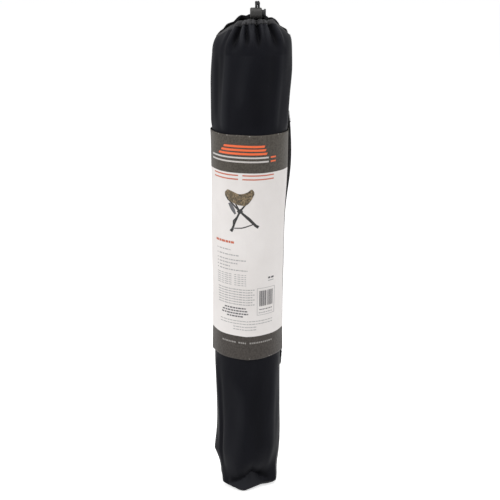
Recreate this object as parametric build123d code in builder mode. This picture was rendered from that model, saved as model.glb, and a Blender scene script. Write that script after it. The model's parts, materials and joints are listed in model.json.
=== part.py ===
"""Folding three-leg stool packed in its drawstring carry bag.

Millimetres, +Z up, origin at the centre of the bag's base, where it stands. The stool stands folded
inside the bag: three tubes round a pivot hub, feet down, with the seat cloth folded flat behind the
tubes and the foot strap gathered beside them.
"""

import math
import os

from build123d import *

# Stool frame
TUBE_DIAMETER = 19.0
TUBE_WALL = 1.4
LEG_LENGTH = 628.0          # underside of the foot to the top of the end plug
PIVOT_SHARE = 0.5           # how far up the leg the pivot sits
FIRST_LEG_ANGLE = -6.5      # degrees round +Z from +X
LEG_COUNT = 3
LEG_NUMBERS = (1, 2, 3)
HUB_APOTHEM = 11.5
HUB_CORNER_RADIUS = 18.0
HUB_HEIGHT = 36.0
HUB_EDGE_ROUNDING = 1.5
SPACER_THICKNESS = 0.8
SPACER_RADIUS = 7.5
PIN_RADIUS = 4.0
PIN_HEAD_RADIUS = 6.5
PIN_HEAD_THICKNESS = 2.4
PIN_START = 3.2
RUNNING_GAP = 0.08
SEAT_GAP = 0.3              # between soft pieces and what they lie against

# Feet, end plugs and seat corner pockets
FOOT_RADIUS = 17.0
FOOT_COLLAR_RADIUS = 12.4
FOOT_HEIGHT = 44.0
FOOT_SOLE = 7.0
FOOT_SIDE_HEIGHT = 11.2     # of the straight side above the sole
FOOT_FLARE_HEIGHT = 18.2    # where the flare meets the collar
FOOT_ROUNDING = 6.0
PLUG_DOME = 4.0
PLUG_ROUNDING_SHARE = 0.6   # of the dome
PLUG_SHANK_LENGTH = 16.0
POCKET_THICKNESS = 1.5
POCKET_LENGTH = 62.0
POCKET_ROUNDING = 3.0
RIVET_RADIUS = 2.0
RIVET_HEAD_RADIUS = 4.0
RIVET_HEAD_THICKNESS = 1.0
RIVET_DROP = 30.0

# Folded seat behind the tubes, and the pouch on one leg
SEAT_PACK_THICKNESS = 6.0
SEAT_PACK_HALF_WIDTH = 22.0
SEAT_PACK_LIFT = 22.0       # from the pivots up to the bottom of the folded seat
SEAT_PACK_DROP = 4.0        # from the top of the legs to the top of the folded seat
HEM_WIDTH = 3.0
POUCH_WIDTH = 42.0
POUCH_THICKNESS = 6.0
POUCH_HEIGHT = 150.0
POUCH_CORNER_RADIUS = 6.0
POUCH_EDGE_ROUNDING = 2.0
POUCH_DROP = 78.0           # from the top of the leg to the top of the pouch

# Foot strap, gathered into a small bundle beside the tubes
STRAP_WEB_WIDTH = 25.0
STRAP_WEB_THICKNESS = 1.5
STRAP_PACK_HALF_WIDTH = 11.0
STRAP_PACK_THICKNESS = 8.0
STRAP_PACK_ANGLE = 75.6     # degrees round +Z from +X
STRAP_PACK_LIFT = 114.3     # from the bag's base to the middle of the bundle
STRAP_LOOP_LIFT = 60.0      # to the middle of the loops round legs 2 and 3

# Bag
BASE_THICKNESS = 2.0
BAG_WALL = 1.2
BAG_SLACK = 6.1             # between the feet and the cloth
FOOT_TURN_IN = 2.5
LABEL_SWELL = 2.4
SHOULDER_SWELL = 7.8
SHOULDER_TURN_IN = 1.5      # from the widest place up to the shoulder
FOOT_SWELL = 0.6
FOOT_SWELL_RISE = 42.0      # from the base to the swell round the feet
WAIST_RISE = 7.5            # above halfway from the base to the sleeve
SLEEVE_FOOT_INSET = 0.6
SLEEVE_FOOT_RISE = 8.0
SLEEVE_WAIST_SHARE = 0.45   # of the sleeve, up to where the bag starts to widen
SLEEVE_TOP_SWELL = 3.4
SLEEVE_TOP_DROP = 20.0
WIDEST_SHARE = 0.66         # of the way from the sleeve to the shoulder
HEAD_ROOM = 18.0            # from the top of the stool to the shoulder
MOUTH_RISE = 24.0
MOUTH_OFFSET = 12.0         # the gathered mouth sits off the bag's axis
MOUTH_RADIUS = 18.0
MOUTH_WALL = 1.5
HEM_RADIUS = 3.2
CHANNEL_RADIUS = 1.9
CORD_RADIUS = 1.5
CORD_SLOT_GAP = 0.75        # round the cord where it leaves its channel
CORD_BEND = 3.2             # radius where the cord turns up out of the channel
CORD_EXIT_TURN = 15.5       # degrees round the mouth from each bend to the middle of the lock

# Card sleeve and carry strap
SLEEVE_DROP = 121.3         # from the shoulder down to the top of the sleeve
SLEEVE_HEIGHT = 320.0
SLEEVE_THICKNESS = 0.5
SLEEVE_GAP = 0.6
SLEEVE_STEPS = 8            # heights at which the sleeve follows the bag
HANDLE_ANGLE = 24.0         # of the carry strap, degrees round +Z from +X
HANDLE_WIDTH = 25.0
HANDLE_THICKNESS = 1.6
HANDLE_EDGE_GAP = 3.0       # beside each edge of the sleeve, outwards and along
HANDLE_BOW = 6.5            # at its widest from the bag
HANDLE_BOW_DROP = 45.0      # from the top of the sleeve to the widest place
HANDLE_SETTLE = 3.2         # where it comes back towards the sleeve
HANDLE_SETTLE_DROP = 110.0
HANDLE_FLAT = 2.6           # lower down, along the sleeve
HANDLE_FLAT_DROP = 30.0     # below the middle of the sleeve
HANDLE_OVERLAP = 26.0       # how far each sewn end lies beyond the sleeve

# Cord lock
LOCK_RADIUS = 7.2
LOCK_LEFT = -10.0           # from the cords to the closed end
LOCK_RIGHT = 6.0            # from the cords to the open end
LOCK_BORE_RADIUS = 4.6
LOCK_ROUNDING = 2.0
LOCK_END_WALL = 3.0
BUTTON_RADIUS = 4.4
BUTTON_HEAD_RADIUS = 5.6
BUTTON_HEAD_THICKNESS = 2.4
BUTTON_ROUNDING = 1.0
BUTTON_TRAVEL = 2.5
SPRING_WIRE_RADIUS = 0.3
SPRING_TURNS = 3
KNOT_RADIUS = 3.4
LOCK_TRAVEL = 2.0

# Places that follow from the sizes above
tube_radius = TUBE_DIAMETER / 2
leg_offset = HUB_APOTHEM + SPACER_THICKNESS + tube_radius + 2 * RUNNING_GAP
leg_bottom = BASE_THICKNESS + SEAT_GAP
leg_top = leg_bottom + LEG_LENGTH
pivot_height = leg_bottom + LEG_LENGTH * PIVOT_SHARE
tube_bottom = leg_bottom + FOOT_SOLE
tube_top = leg_top - PLUG_DOME
pocket_inner = tube_radius + SEAT_GAP
pocket_outer = pocket_inner + POCKET_THICKNESS
pocket_top = leg_top + SEAT_GAP + POCKET_THICKNESS
foot_reach = leg_offset + FOOT_RADIUS

waist_radius = foot_reach + BAG_SLACK + BAG_WALL
base_radius = waist_radius - FOOT_TURN_IN
label_radius = waist_radius + LABEL_SWELL
shoulder_radius = waist_radius + SHOULDER_SWELL
shoulder_height = leg_top + HEAD_ROOM
sleeve_top = shoulder_height - SLEEVE_DROP
sleeve_bottom = sleeve_top - SLEEVE_HEIGHT
mouth_height = shoulder_height + MOUTH_RISE + HEM_RADIUS
bag_outline = [
    (base_radius, BASE_THICKNESS),
    (waist_radius + FOOT_SWELL, BASE_THICKNESS + FOOT_SWELL_RISE),
    (waist_radius, (BASE_THICKNESS + sleeve_bottom) / 2 + WAIST_RISE),
    (label_radius - SLEEVE_FOOT_INSET, sleeve_bottom + SLEEVE_FOOT_RISE),
    (label_radius, sleeve_bottom + SLEEVE_HEIGHT * SLEEVE_WAIST_SHARE),
    (label_radius + SLEEVE_TOP_SWELL, sleeve_top - SLEEVE_TOP_DROP),
    (shoulder_radius, sleeve_top + SLEEVE_DROP * WIDEST_SHARE),
    (shoulder_radius - SHOULDER_TURN_IN, shoulder_height),
]


def leg_angle(number):
    """Angle of a leg round the hub, in degrees, for leg 1, 2 or 3."""
    return FIRST_LEG_ANGLE + (number - 1) * 360 / LEG_COUNT


def leg_plane(number, height=0.0):
    """Horizontal plane centred on a leg, with its x direction pointing away from the hub."""
    turn = math.radians(leg_angle(number))
    outwards = Vector(math.cos(turn), math.sin(turn), 0)
    return Plane(origin=outwards * leg_offset + Vector(0, 0, height), x_dir=outwards, z_dir=(0, 0, 1))


def radial_plane(number, height, distance):
    """Plane across a leg's pivot axis, at a distance from the hub's centre, facing outwards."""
    turn = math.radians(leg_angle(number))
    outwards = Vector(math.cos(turn), math.sin(turn), 0)
    return Plane(origin=outwards * distance + Vector(0, 0, height), x_dir=(0, 0, 1), z_dir=outwards)


def swing_plane(number, height, distance):
    """Plane at a distance from a leg's own axis, facing the way the top of the leg swings open."""
    upright = leg_plane(number, height)
    return Plane(origin=upright.origin - upright.y_dir * distance, x_dir=(0, 0, 1), z_dir=-upright.y_dir)


def leg_section(number):
    """Vertical plane through a leg's own axis, for profiles that are revolved round it."""
    upright = leg_plane(number)
    return Plane(origin=upright.origin, x_dir=upright.x_dir, z_dir=-upright.y_dir)


def leg_axis(number):
    return Axis(leg_plane(number).origin, (0, 0, 1))


def reach_behind(radius):
    """How far the tube bundle, with that radius round each tube, reaches towards +Y."""
    return max(leg_offset * math.sin(math.radians(leg_angle(n))) for n in LEG_NUMBERS) + radius


def save(part, name):
    part.label = name
    export_step(part, f"parts/{name}.step")


os.makedirs("parts", exist_ok=True)

# ---------------------------------------------------------------- bag cloth


def turned_wall(outline, thickness):
    """Thin wall of revolution about Z, whose outside follows the outline."""
    with BuildPart() as wall:
        with BuildSketch(Plane.XZ):
            with BuildLine():
                outside = Spline(*outline)
                inside = Spline(*[(r - thickness, z) for r, z in outline])
                Line(outside @ 0, inside @ 0)
                Line(outside @ 1, inside @ 1)
            make_face()
        revolve(axis=Axis.Z)
    return wall.part


def bag_radius(height):
    """Outside radius of the bag at a height, found by halving along its outline."""
    low, high = 0.0, 1.0
    halvings = 30
    for _ in range(halvings):
        middle = (low + high) / 2
        if (bag_curve @ middle).Y < height:
            low = middle
        else:
            high = middle
    return (bag_curve @ low).X


with BuildLine() as bag_line:
    Spline(*bag_outline)
bag_curve = bag_line.edges()[0]

save(turned_wall(bag_outline, BAG_WALL), "bag_shell")

with BuildPart() as bag_base:
    Cylinder(base_radius, BASE_THICKNESS, align=(Align.CENTER, Align.CENTER, Align.MIN))
save(bag_base.part, "bag_base")

mouth_foot = shoulder_height + SEAT_GAP
mouth_end = mouth_height - HEM_RADIUS - SEAT_GAP
with BuildPart() as bag_mouth:
    with BuildSketch(Plane.XY.offset(mouth_foot)):
        Circle(shoulder_radius - SHOULDER_TURN_IN)
    with BuildSketch(Plane.XY.offset(mouth_end)):
        with Locations((MOUTH_OFFSET, 0)):
            Circle(MOUTH_RADIUS + MOUTH_WALL / 2)
    loft()
    with BuildSketch(Plane.XY.offset(mouth_foot)):
        Circle(shoulder_radius - SHOULDER_TURN_IN - MOUTH_WALL)
    with BuildSketch(Plane.XY.offset(mouth_end)):
        with Locations((MOUTH_OFFSET, 0)):
            Circle(MOUTH_RADIUS - MOUTH_WALL / 2)
    loft(mode=Mode.SUBTRACT)
save(bag_mouth.part, "bag_mouth")

# ---------------------------------------------------------------- drawstring and its channel

# The cord comes round the channel from each side, turns up at the front and ends in the knot.
exit_turn = math.radians(CORD_EXIT_TURN)
bend_start_x = MOUTH_RADIUS * math.sin(exit_turn)
bend_start_y = -MOUTH_RADIUS * math.cos(exit_turn)
cord_half_spacing = bend_start_x - CORD_BEND * math.cos(exit_turn)
cord_x = MOUTH_OFFSET
cord_y = bend_start_y - CORD_BEND * math.sin(exit_turn)
lock_bottom = mouth_height + HEM_RADIUS + SEAT_GAP
lock_height = lock_bottom + LOCK_RADIUS
knot_bottom = lock_bottom + 2 * LOCK_RADIUS + LOCK_TRAVEL + SEAT_GAP
knot_height = knot_bottom + KNOT_RADIUS
slot_reach = bend_start_x + CORD_RADIUS + SEAT_GAP
slot_width = 2 * (CORD_RADIUS + CORD_SLOT_GAP)

with BuildPart() as mouth_hem:
    with Locations((MOUTH_OFFSET, 0, mouth_height)):
        Torus(MOUTH_RADIUS, HEM_RADIUS)
        Torus(MOUTH_RADIUS, CHANNEL_RADIUS, mode=Mode.SUBTRACT)
    with BuildSketch(Plane.XY.offset(mouth_height)):
        with Locations((cord_x, (bend_start_y + cord_y) / 2)):
            Rectangle(2 * slot_reach, slot_width)
    extrude(amount=2 * HEM_RADIUS, mode=Mode.SUBTRACT)
save(mouth_hem.part, "mouth_hem")

with BuildPart() as drawstring:
    right_tail = Vector(cord_x + cord_half_spacing, cord_y, knot_height)
    left_tail = Vector(cord_x - cord_half_spacing, cord_y, knot_height)
    right_foot = Vector(right_tail.X, cord_y, mouth_height + CORD_BEND)
    left_foot = Vector(left_tail.X, cord_y, mouth_height + CORD_BEND)
    right_bend = Vector(MOUTH_OFFSET + bend_start_x, bend_start_y, mouth_height)
    left_bend = Vector(MOUTH_OFFSET - bend_start_x, bend_start_y, mouth_height)
    with BuildLine() as cord_line:
        Line(right_tail, right_foot)
        TangentArc(right_foot, right_bend, tangent=(0, 0, -1))
        ThreePointArc(right_bend, (MOUTH_OFFSET, MOUTH_RADIUS, mouth_height), left_bend)
        TangentArc(left_foot, left_bend, tangent=(0, 0, -1))
        Line(left_foot, left_tail)
    with BuildSketch(Plane.XY.offset(knot_height)):
        with Locations((right_tail.X, cord_y)):
            Circle(CORD_RADIUS)
    sweep(path=cord_line.line)
    with Locations((cord_x, cord_y, knot_height)):
        Sphere(KNOT_RADIUS, rotation=(0, 90, 90))
save(drawstring.part, "drawstring")

# ---------------------------------------------------------------- cord lock, lying across the cords

cord_slot = 2 * (cord_half_spacing + CORD_RADIUS + SEAT_GAP)
bore_end = LOCK_LEFT + LOCK_END_WALL
button_end = bore_end + BUTTON_TRAVEL + SEAT_GAP


def lock_plane(distance):
    """Plane across the lock, at a distance from the middle of the cords."""
    return Plane(origin=(cord_x + distance, cord_y, lock_height), x_dir=(0, 1, 0), z_dir=(1, 0, 0))


with BuildPart() as lock_barrel:
    with BuildSketch(lock_plane(LOCK_LEFT)):
        Circle(LOCK_RADIUS)
    extrude(amount=LOCK_RIGHT - LOCK_LEFT)
    fillet(lock_barrel.edges().filter_by(GeomType.CIRCLE), LOCK_ROUNDING)
    with BuildSketch(lock_plane(bore_end)):
        Circle(LOCK_BORE_RADIUS)
    extrude(amount=LOCK_RIGHT - bore_end, mode=Mode.SUBTRACT)
    with BuildSketch(Plane.XY.offset(lock_bottom)):
        with Locations((cord_x, cord_y)):
            SlotOverall(cord_slot, 2 * (CORD_RADIUS + SEAT_GAP))
    extrude(amount=2 * LOCK_RADIUS, mode=Mode.SUBTRACT)
save(lock_barrel.part, "lock_barrel")

with BuildPart() as lock_button:
    with BuildSketch(lock_plane(button_end)):
        Circle(BUTTON_RADIUS)
    extrude(amount=LOCK_RIGHT + BUTTON_TRAVEL + SEAT_GAP - button_end)
    with BuildSketch(lock_plane(LOCK_RIGHT + BUTTON_TRAVEL + SEAT_GAP)):
        Circle(BUTTON_HEAD_RADIUS)
    extrude(amount=BUTTON_HEAD_THICKNESS)
    fillet(lock_button.faces().sort_by(Axis.X)[-1].edges(), BUTTON_ROUNDING)
    with BuildSketch(Plane.XY.offset(lock_bottom)):
        with Locations((cord_x + BUTTON_TRAVEL / 2, cord_y)):
            SlotOverall(cord_slot + BUTTON_TRAVEL, 2 * (CORD_RADIUS + SEAT_GAP))
    extrude(amount=2 * LOCK_RADIUS, mode=Mode.SUBTRACT)
save(lock_button.part, "lock_button")

spring_start = bore_end + SPRING_WIRE_RADIUS + RUNNING_GAP
spring_length = button_end - SPRING_WIRE_RADIUS - RUNNING_GAP - spring_start
with BuildPart() as lock_spring:
    with BuildLine() as coil:
        Helix(
            spring_length / SPRING_TURNS, spring_length, LOCK_BORE_RADIUS - SPRING_WIRE_RADIUS - SEAT_GAP,
            center=(cord_x + spring_start, cord_y, lock_height), direction=(1, 0, 0),
        )
    with BuildSketch(Plane(origin=coil.line @ 0, z_dir=coil.line % 0)):
        Circle(SPRING_WIRE_RADIUS)
    sweep(path=coil.line, is_frenet=True)
save(lock_spring.part, "lock_spring")

# ---------------------------------------------------------------- card sleeve and carry strap

sleeve_heights = [sleeve_bottom + SLEEVE_HEIGHT * step / SLEEVE_STEPS for step in range(SLEEVE_STEPS + 1)]
sleeve_outline = [(bag_radius(z) + SLEEVE_GAP + SLEEVE_THICKNESS, z) for z in sleeve_heights]
save(turned_wall(sleeve_outline, SLEEVE_THICKNESS), "label_sleeve")

# The carry strap is sewn to the bag above and below the sleeve, and bows out a little between.
handle_turn = math.radians(HANDLE_ANGLE)
handle_out = Vector(math.cos(handle_turn), math.sin(handle_turn), 0)
handle_plane = Plane(origin=(0, 0, 0), x_dir=handle_out, z_dir=handle_out.cross(Vector(0, 0, 1)))
handle_line = [
    (bag_radius(z) + stand_off, z)
    for z, stand_off in [
        (sleeve_top + HANDLE_OVERLAP, SEAT_GAP),
        (sleeve_top + HANDLE_EDGE_GAP, HANDLE_EDGE_GAP),
        (sleeve_top - HANDLE_BOW_DROP, HANDLE_BOW),
        (sleeve_top - HANDLE_SETTLE_DROP, HANDLE_SETTLE),
        ((sleeve_bottom + sleeve_top) / 2 - HANDLE_FLAT_DROP, HANDLE_FLAT),
        (sleeve_bottom - HANDLE_EDGE_GAP, HANDLE_EDGE_GAP),
        (sleeve_bottom - HANDLE_OVERLAP, SEAT_GAP),
    ]
]
with BuildPart() as carry_strap:
    with BuildSketch(handle_plane):
        with BuildLine():
            inside = Spline(*handle_line)
            outside = Spline(*[(r + HANDLE_THICKNESS, z) for r, z in handle_line])
            Line(inside @ 0, outside @ 0)
            Line(inside @ 1, outside @ 1)
        make_face()
    extrude(amount=HANDLE_WIDTH / 2, both=True)
save(carry_strap.part, "carry_strap")

# ---------------------------------------------------------------- pivot hub, pins and spacers

with BuildPart() as pivot_hub:
    with BuildSketch(Plane.XY.offset(pivot_height - HUB_HEIGHT / 2)):
        RegularPolygon(HUB_APOTHEM, LEG_COUNT, major_radius=False, rotation=leg_angle(1) + 180 / LEG_COUNT)
        Circle(HUB_CORNER_RADIUS, mode=Mode.INTERSECT)
    extrude(amount=HUB_HEIGHT)
    fillet(pivot_hub.edges().filter_by(Axis.Z), HUB_EDGE_ROUNDING)
    for number in LEG_NUMBERS:
        with BuildSketch(radial_plane(number, pivot_height, PIN_START)):
            Circle(PIN_RADIUS + RUNNING_GAP / 2)
        extrude(amount=HUB_CORNER_RADIUS, mode=Mode.SUBTRACT)
save(pivot_hub.part, "pivot_hub")

with BuildPart() as pivot_pins:
    for number in LEG_NUMBERS:
        head_start = leg_offset + tube_radius + SEAT_GAP
        with BuildSketch(radial_plane(number, pivot_height, PIN_START)):
            Circle(PIN_RADIUS)
        extrude(amount=head_start - PIN_START)
        with BuildSketch(radial_plane(number, pivot_height, head_start)):
            Circle(PIN_HEAD_RADIUS)
        extrude(amount=PIN_HEAD_THICKNESS)
save(pivot_pins.part, "pivot_pins")

with BuildPart() as pivot_spacers:
    for number in LEG_NUMBERS:
        with BuildSketch(radial_plane(number, pivot_height, HUB_APOTHEM + RUNNING_GAP)):
            Circle(SPACER_RADIUS)
            Circle(PIN_RADIUS + RUNNING_GAP, mode=Mode.SUBTRACT)
        extrude(amount=SPACER_THICKNESS)
save(pivot_spacers.part, "pivot_spacers")

# ---------------------------------------------------------------- legs


def make_leg_tube(number):
    with BuildPart() as tube:
        with BuildSketch(leg_plane(number, tube_bottom)):
            Circle(tube_radius)
            Circle(tube_radius - TUBE_WALL, mode=Mode.SUBTRACT)
        extrude(amount=tube_top - tube_bottom)
        with BuildSketch(radial_plane(number, pivot_height, leg_offset - 2 * tube_radius)):
            Circle(PIN_RADIUS + RUNNING_GAP)
        extrude(amount=4 * tube_radius, mode=Mode.SUBTRACT)
        with BuildSketch(swing_plane(number, leg_top - RIVET_DROP, 0)):
            Circle(RIVET_RADIUS + RUNNING_GAP)
        extrude(amount=2 * tube_radius, mode=Mode.SUBTRACT)
    return tube.part


def make_leg_foot(number):
    """Rubber boot: a collar round the tube that flares to a rounded sole."""
    with BuildPart() as foot:
        with BuildSketch(leg_section(number)):
            with BuildLine():
                Polyline(
                    (0, leg_bottom),
                    (FOOT_RADIUS, leg_bottom),
                    (FOOT_RADIUS, leg_bottom + FOOT_SIDE_HEIGHT),
                    (FOOT_COLLAR_RADIUS, leg_bottom + FOOT_FLARE_HEIGHT),
                    (FOOT_COLLAR_RADIUS, leg_bottom + FOOT_HEIGHT),
                    (0, leg_bottom + FOOT_HEIGHT),
                    close=True,
                )
            make_face()
        revolve(axis=leg_axis(number))
        fillet(foot.faces().sort_by(Axis.Z)[0].edges(), FOOT_ROUNDING)
        with BuildSketch(leg_plane(number, tube_bottom - RUNNING_GAP)):
            Circle(tube_radius + RUNNING_GAP)
        extrude(amount=FOOT_HEIGHT, mode=Mode.SUBTRACT)
    return foot.part


def make_leg_plug(number):
    """Plastic end plug: a shank inside the tube under a domed head."""
    with BuildPart() as plug:
        with BuildSketch(leg_plane(number, tube_top - PLUG_SHANK_LENGTH)):
            Circle(tube_radius - TUBE_WALL - RUNNING_GAP)
        extrude(amount=PLUG_SHANK_LENGTH + PLUG_DOME / 2)
        with BuildSketch(leg_plane(number, tube_top + RUNNING_GAP)):
            Circle(tube_radius)
        extrude(amount=PLUG_DOME - RUNNING_GAP)
        fillet(plug.faces().sort_by(Axis.Z)[-1].edges(), PLUG_DOME * PLUG_ROUNDING_SHARE)
    return plug.part


def make_seat_pocket(number):
    """Cloth pocket sewn to a corner of the seat, pulled down over the top of the leg."""
    with BuildPart() as pocket:
        with BuildSketch(leg_plane(number, pocket_top - POCKET_LENGTH)):
            Circle(pocket_outer)
        extrude(amount=POCKET_LENGTH)
        fillet(pocket.faces().sort_by(Axis.Z)[-1].edges(), POCKET_ROUNDING)
        with BuildSketch(leg_plane(number, pocket_top - POCKET_LENGTH)):
            Circle(pocket_inner)
        extrude(amount=POCKET_LENGTH - POCKET_THICKNESS, mode=Mode.SUBTRACT)
        with BuildSketch(swing_plane(number, leg_top - RIVET_DROP, 0)):
            Circle(RIVET_RADIUS + RUNNING_GAP)
        extrude(amount=2 * tube_radius, mode=Mode.SUBTRACT)
    return pocket.part


def make_pocket_rivet(number):
    """Rivet that holds the pocket on the tube, with its head outside the cloth."""
    with BuildPart() as rivet:
        shank_start = tube_radius - TUBE_WALL - RIVET_HEAD_THICKNESS
        head_start = pocket_outer + RUNNING_GAP
        with BuildSketch(swing_plane(number, leg_top - RIVET_DROP, shank_start)):
            Circle(RIVET_RADIUS)
        extrude(amount=head_start - shank_start)
        with BuildSketch(swing_plane(number, leg_top - RIVET_DROP, head_start)):
            Circle(RIVET_HEAD_RADIUS)
        extrude(amount=RIVET_HEAD_THICKNESS)
    return rivet.part


for number in LEG_NUMBERS:
    save(make_leg_tube(number), f"leg_tube_{number}")
    save(make_leg_foot(number), f"leg_foot_{number}")
    save(make_leg_plug(number), f"leg_plug_{number}")
    save(make_seat_pocket(number), f"seat_pocket_{number}")
    save(make_pocket_rivet(number), f"pocket_rivet_{number}")

# ---------------------------------------------------------------- folded seat, foot strap and pouch


def folded_pack(plane, low_x, high_x, thickness, height):
    """Flat folded cloth standing on edge, with softened corners; y of the plane runs through it."""
    with BuildPart() as pack:
        with BuildSketch(plane):
            with Locations(((low_x + high_x) / 2, thickness / 2)):
                Rectangle(high_x - low_x, thickness)
        extrude(amount=height)
        fillet(pack.edges().filter_by(Axis.Z), min(high_x - low_x, thickness) / 4)
    return pack.part


def save_folded_cloth(names, plane, half_width, thickness, height):
    """A middle pack and the edge strips at its two sides, saved as middle, left and right."""
    edge_start = half_width + SEAT_GAP
    edge_end = edge_start + HEM_WIDTH
    save(folded_pack(plane, -half_width, half_width, thickness, height), names[0])
    save(folded_pack(plane, -edge_end, -edge_start, thickness, height), names[1])
    save(folded_pack(plane, edge_start, edge_end, thickness, height), names[2])


seat_pack_y = reach_behind(pocket_outer) + SEAT_GAP
seat_pack_bottom = pivot_height + SEAT_PACK_LIFT
seat_pack_height = leg_top - SEAT_PACK_DROP - seat_pack_bottom
seat_pack_plane = Plane(origin=(0, seat_pack_y, seat_pack_bottom))
save_folded_cloth(
    ("seat_sling", "seat_left_hem", "seat_right_hem"),
    seat_pack_plane, SEAT_PACK_HALF_WIDTH, SEAT_PACK_THICKNESS, seat_pack_height,
)

strap_turn = math.radians(STRAP_PACK_ANGLE)
strap_back = Vector(math.cos(strap_turn), math.sin(strap_turn), 0)
strap_along = Vector(math.sin(strap_turn), -math.cos(strap_turn), 0)
strap_side = math.radians(leg_angle(2) - STRAP_PACK_ANGLE)
strap_pack_start = leg_offset * math.cos(strap_side) + tube_radius + SEAT_GAP
strap_pack_corner = strap_back * strap_pack_start + Vector(0, 0, STRAP_PACK_LIFT - STRAP_WEB_WIDTH / 2)
strap_pack_plane = Plane(origin=strap_pack_corner, x_dir=strap_along, z_dir=(0, 0, 1))
save_folded_cloth(
    ("foot_strap", "foot_strap_left_end", "foot_strap_right_end"),
    strap_pack_plane, STRAP_PACK_HALF_WIDTH, STRAP_PACK_THICKNESS, STRAP_WEB_WIDTH,
)

for number in (2, 3):
    with BuildPart() as strap_loop:
        with BuildSketch(leg_plane(number, STRAP_LOOP_LIFT - STRAP_WEB_WIDTH / 2)):
            Circle(pocket_inner + STRAP_WEB_THICKNESS)
            Circle(pocket_inner, mode=Mode.SUBTRACT)
        extrude(amount=STRAP_WEB_WIDTH)
    save(strap_loop.part, f"strap_loop_{number}")

# The pouch hangs on leg 3, in the hollow between legs 2 and 3.
pouch_turn = math.radians(leg_angle(3) - 180 / LEG_COUNT)
pouch_out = Vector(math.cos(pouch_turn), math.sin(pouch_turn), 0)
pouch_start = leg_offset * math.cos(math.pi / LEG_COUNT) + tube_radius + SEAT_GAP
pouch_height = leg_top - POUCH_DROP - POUCH_HEIGHT / 2
with BuildPart() as side_pouch:
    pouch_centre = pouch_out * pouch_start + Vector(0, 0, pouch_height)
    with BuildSketch(Plane(origin=pouch_centre, x_dir=(0, 0, 1), z_dir=pouch_out)):
        RectangleRounded(POUCH_HEIGHT, POUCH_WIDTH, POUCH_CORNER_RADIUS)
    extrude(amount=POUCH_THICKNESS)
    outer_face = side_pouch.faces().sort_by(Axis(origin=(0, 0, 0), direction=pouch_out))[-1]
    fillet(outer_face.edges(), POUCH_EDGE_ROUNDING)
save(side_pouch.part, "side_pouch")

print(f"pivot height {pivot_height:.3f}, leg offset {leg_offset:.3f}, leg top {leg_top:.2f}")
print(f"bag radii {base_radius:.2f} {waist_radius:.2f} {label_radius:.2f} {shoulder_radius:.2f}")
print(f"knot top {knot_height + KNOT_RADIUS:.2f}, lock {lock_bottom:.2f}, cords at {cord_x:.2f} {cord_y:.2f}")
print(f"seat pack y {seat_pack_y:.2f} z {seat_pack_bottom:.2f}, strap pack starts {strap_pack_start:.2f}")
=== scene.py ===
"""A folding three-leg stool packed in its drawstring bag: the looks, in metres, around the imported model.

At rest the stool stands folded inside the closed bag. Unpacked, it stands open beside the bag, so the
seat cloth and the foot strap are shaped open first and then folded back into their rest places.
"""

import json
import math

import bmesh
import bpy
import numpy as np
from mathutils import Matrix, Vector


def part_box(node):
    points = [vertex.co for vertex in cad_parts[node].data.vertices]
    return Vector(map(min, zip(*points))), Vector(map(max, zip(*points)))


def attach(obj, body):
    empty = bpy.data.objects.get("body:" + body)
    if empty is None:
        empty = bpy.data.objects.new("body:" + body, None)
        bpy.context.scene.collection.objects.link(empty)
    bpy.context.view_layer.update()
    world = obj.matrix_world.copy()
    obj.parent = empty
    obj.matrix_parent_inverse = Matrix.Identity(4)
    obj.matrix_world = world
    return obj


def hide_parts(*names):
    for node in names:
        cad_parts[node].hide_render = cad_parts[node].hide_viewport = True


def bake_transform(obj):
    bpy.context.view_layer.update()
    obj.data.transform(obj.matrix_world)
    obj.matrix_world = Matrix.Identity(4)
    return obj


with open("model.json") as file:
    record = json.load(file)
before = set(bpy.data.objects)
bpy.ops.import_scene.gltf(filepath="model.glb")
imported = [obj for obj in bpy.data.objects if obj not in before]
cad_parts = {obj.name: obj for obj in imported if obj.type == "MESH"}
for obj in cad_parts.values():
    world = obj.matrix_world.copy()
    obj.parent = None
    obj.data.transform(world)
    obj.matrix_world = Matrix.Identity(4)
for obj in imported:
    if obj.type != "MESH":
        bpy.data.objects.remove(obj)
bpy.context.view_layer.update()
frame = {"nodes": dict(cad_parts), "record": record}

MM = 0.001
UP = np.array([0.0, 0.0, 1.0])
SIDES = {"left": -1.0, "right": 1.0}
FRONT = 270.0                # bearing of the bag's front, in degrees

# ------------------------------------------------------------------ camera

CAMERA_DISTANCE = 1.80
CAMERA_HEIGHT = 0.833
CAMERA_PITCH = 15.0          # degrees below level
CAMERA_LENS = 94.9
CAMERA_SENSOR = 36.0
CAMERA_ASIDE = 0.002
CAMERA_SHIFT = 0.0045

camera_data = bpy.data.cameras.new("camera")
camera_data.lens = CAMERA_LENS
camera_data.sensor_width = CAMERA_SENSOR
camera_data.shift_y = CAMERA_SHIFT
camera = bpy.data.objects.new("camera", camera_data)
camera.location = (CAMERA_ASIDE, -CAMERA_DISTANCE, CAMERA_HEIGHT)
camera.rotation_euler = (math.radians(90 - CAMERA_PITCH), 0, 0)
bpy.context.scene.collection.objects.link(camera)
bpy.context.scene.camera = camera

# ------------------------------------------------------------------ mesh helpers


def smooth_through(xs, ys, x):
    """Smooth curve through points: cubic pieces, with the mean slope of the two runs beside each point."""
    xs, ys, x = np.asarray(xs, float), np.asarray(ys, float), np.asarray(x, float)
    runs = np.diff(ys) / np.diff(xs)
    slopes = np.concatenate([[runs[0]], (runs[1:] + runs[:-1]) / 2, [runs[-1]]])
    low = np.clip(np.searchsorted(xs, x) - 1, 0, len(xs) - 2)
    width = xs[low + 1] - xs[low]
    t = np.clip((x - xs[low]) / width, 0, 1)
    start = ys[low] * (1 + 2 * t) * (1 - t) ** 2 + slopes[low] * width * t * (1 - t) ** 2
    end = ys[low + 1] * t * t * (3 - 2 * t) - slopes[low + 1] * width * t * t * (1 - t)
    return start + end


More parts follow.
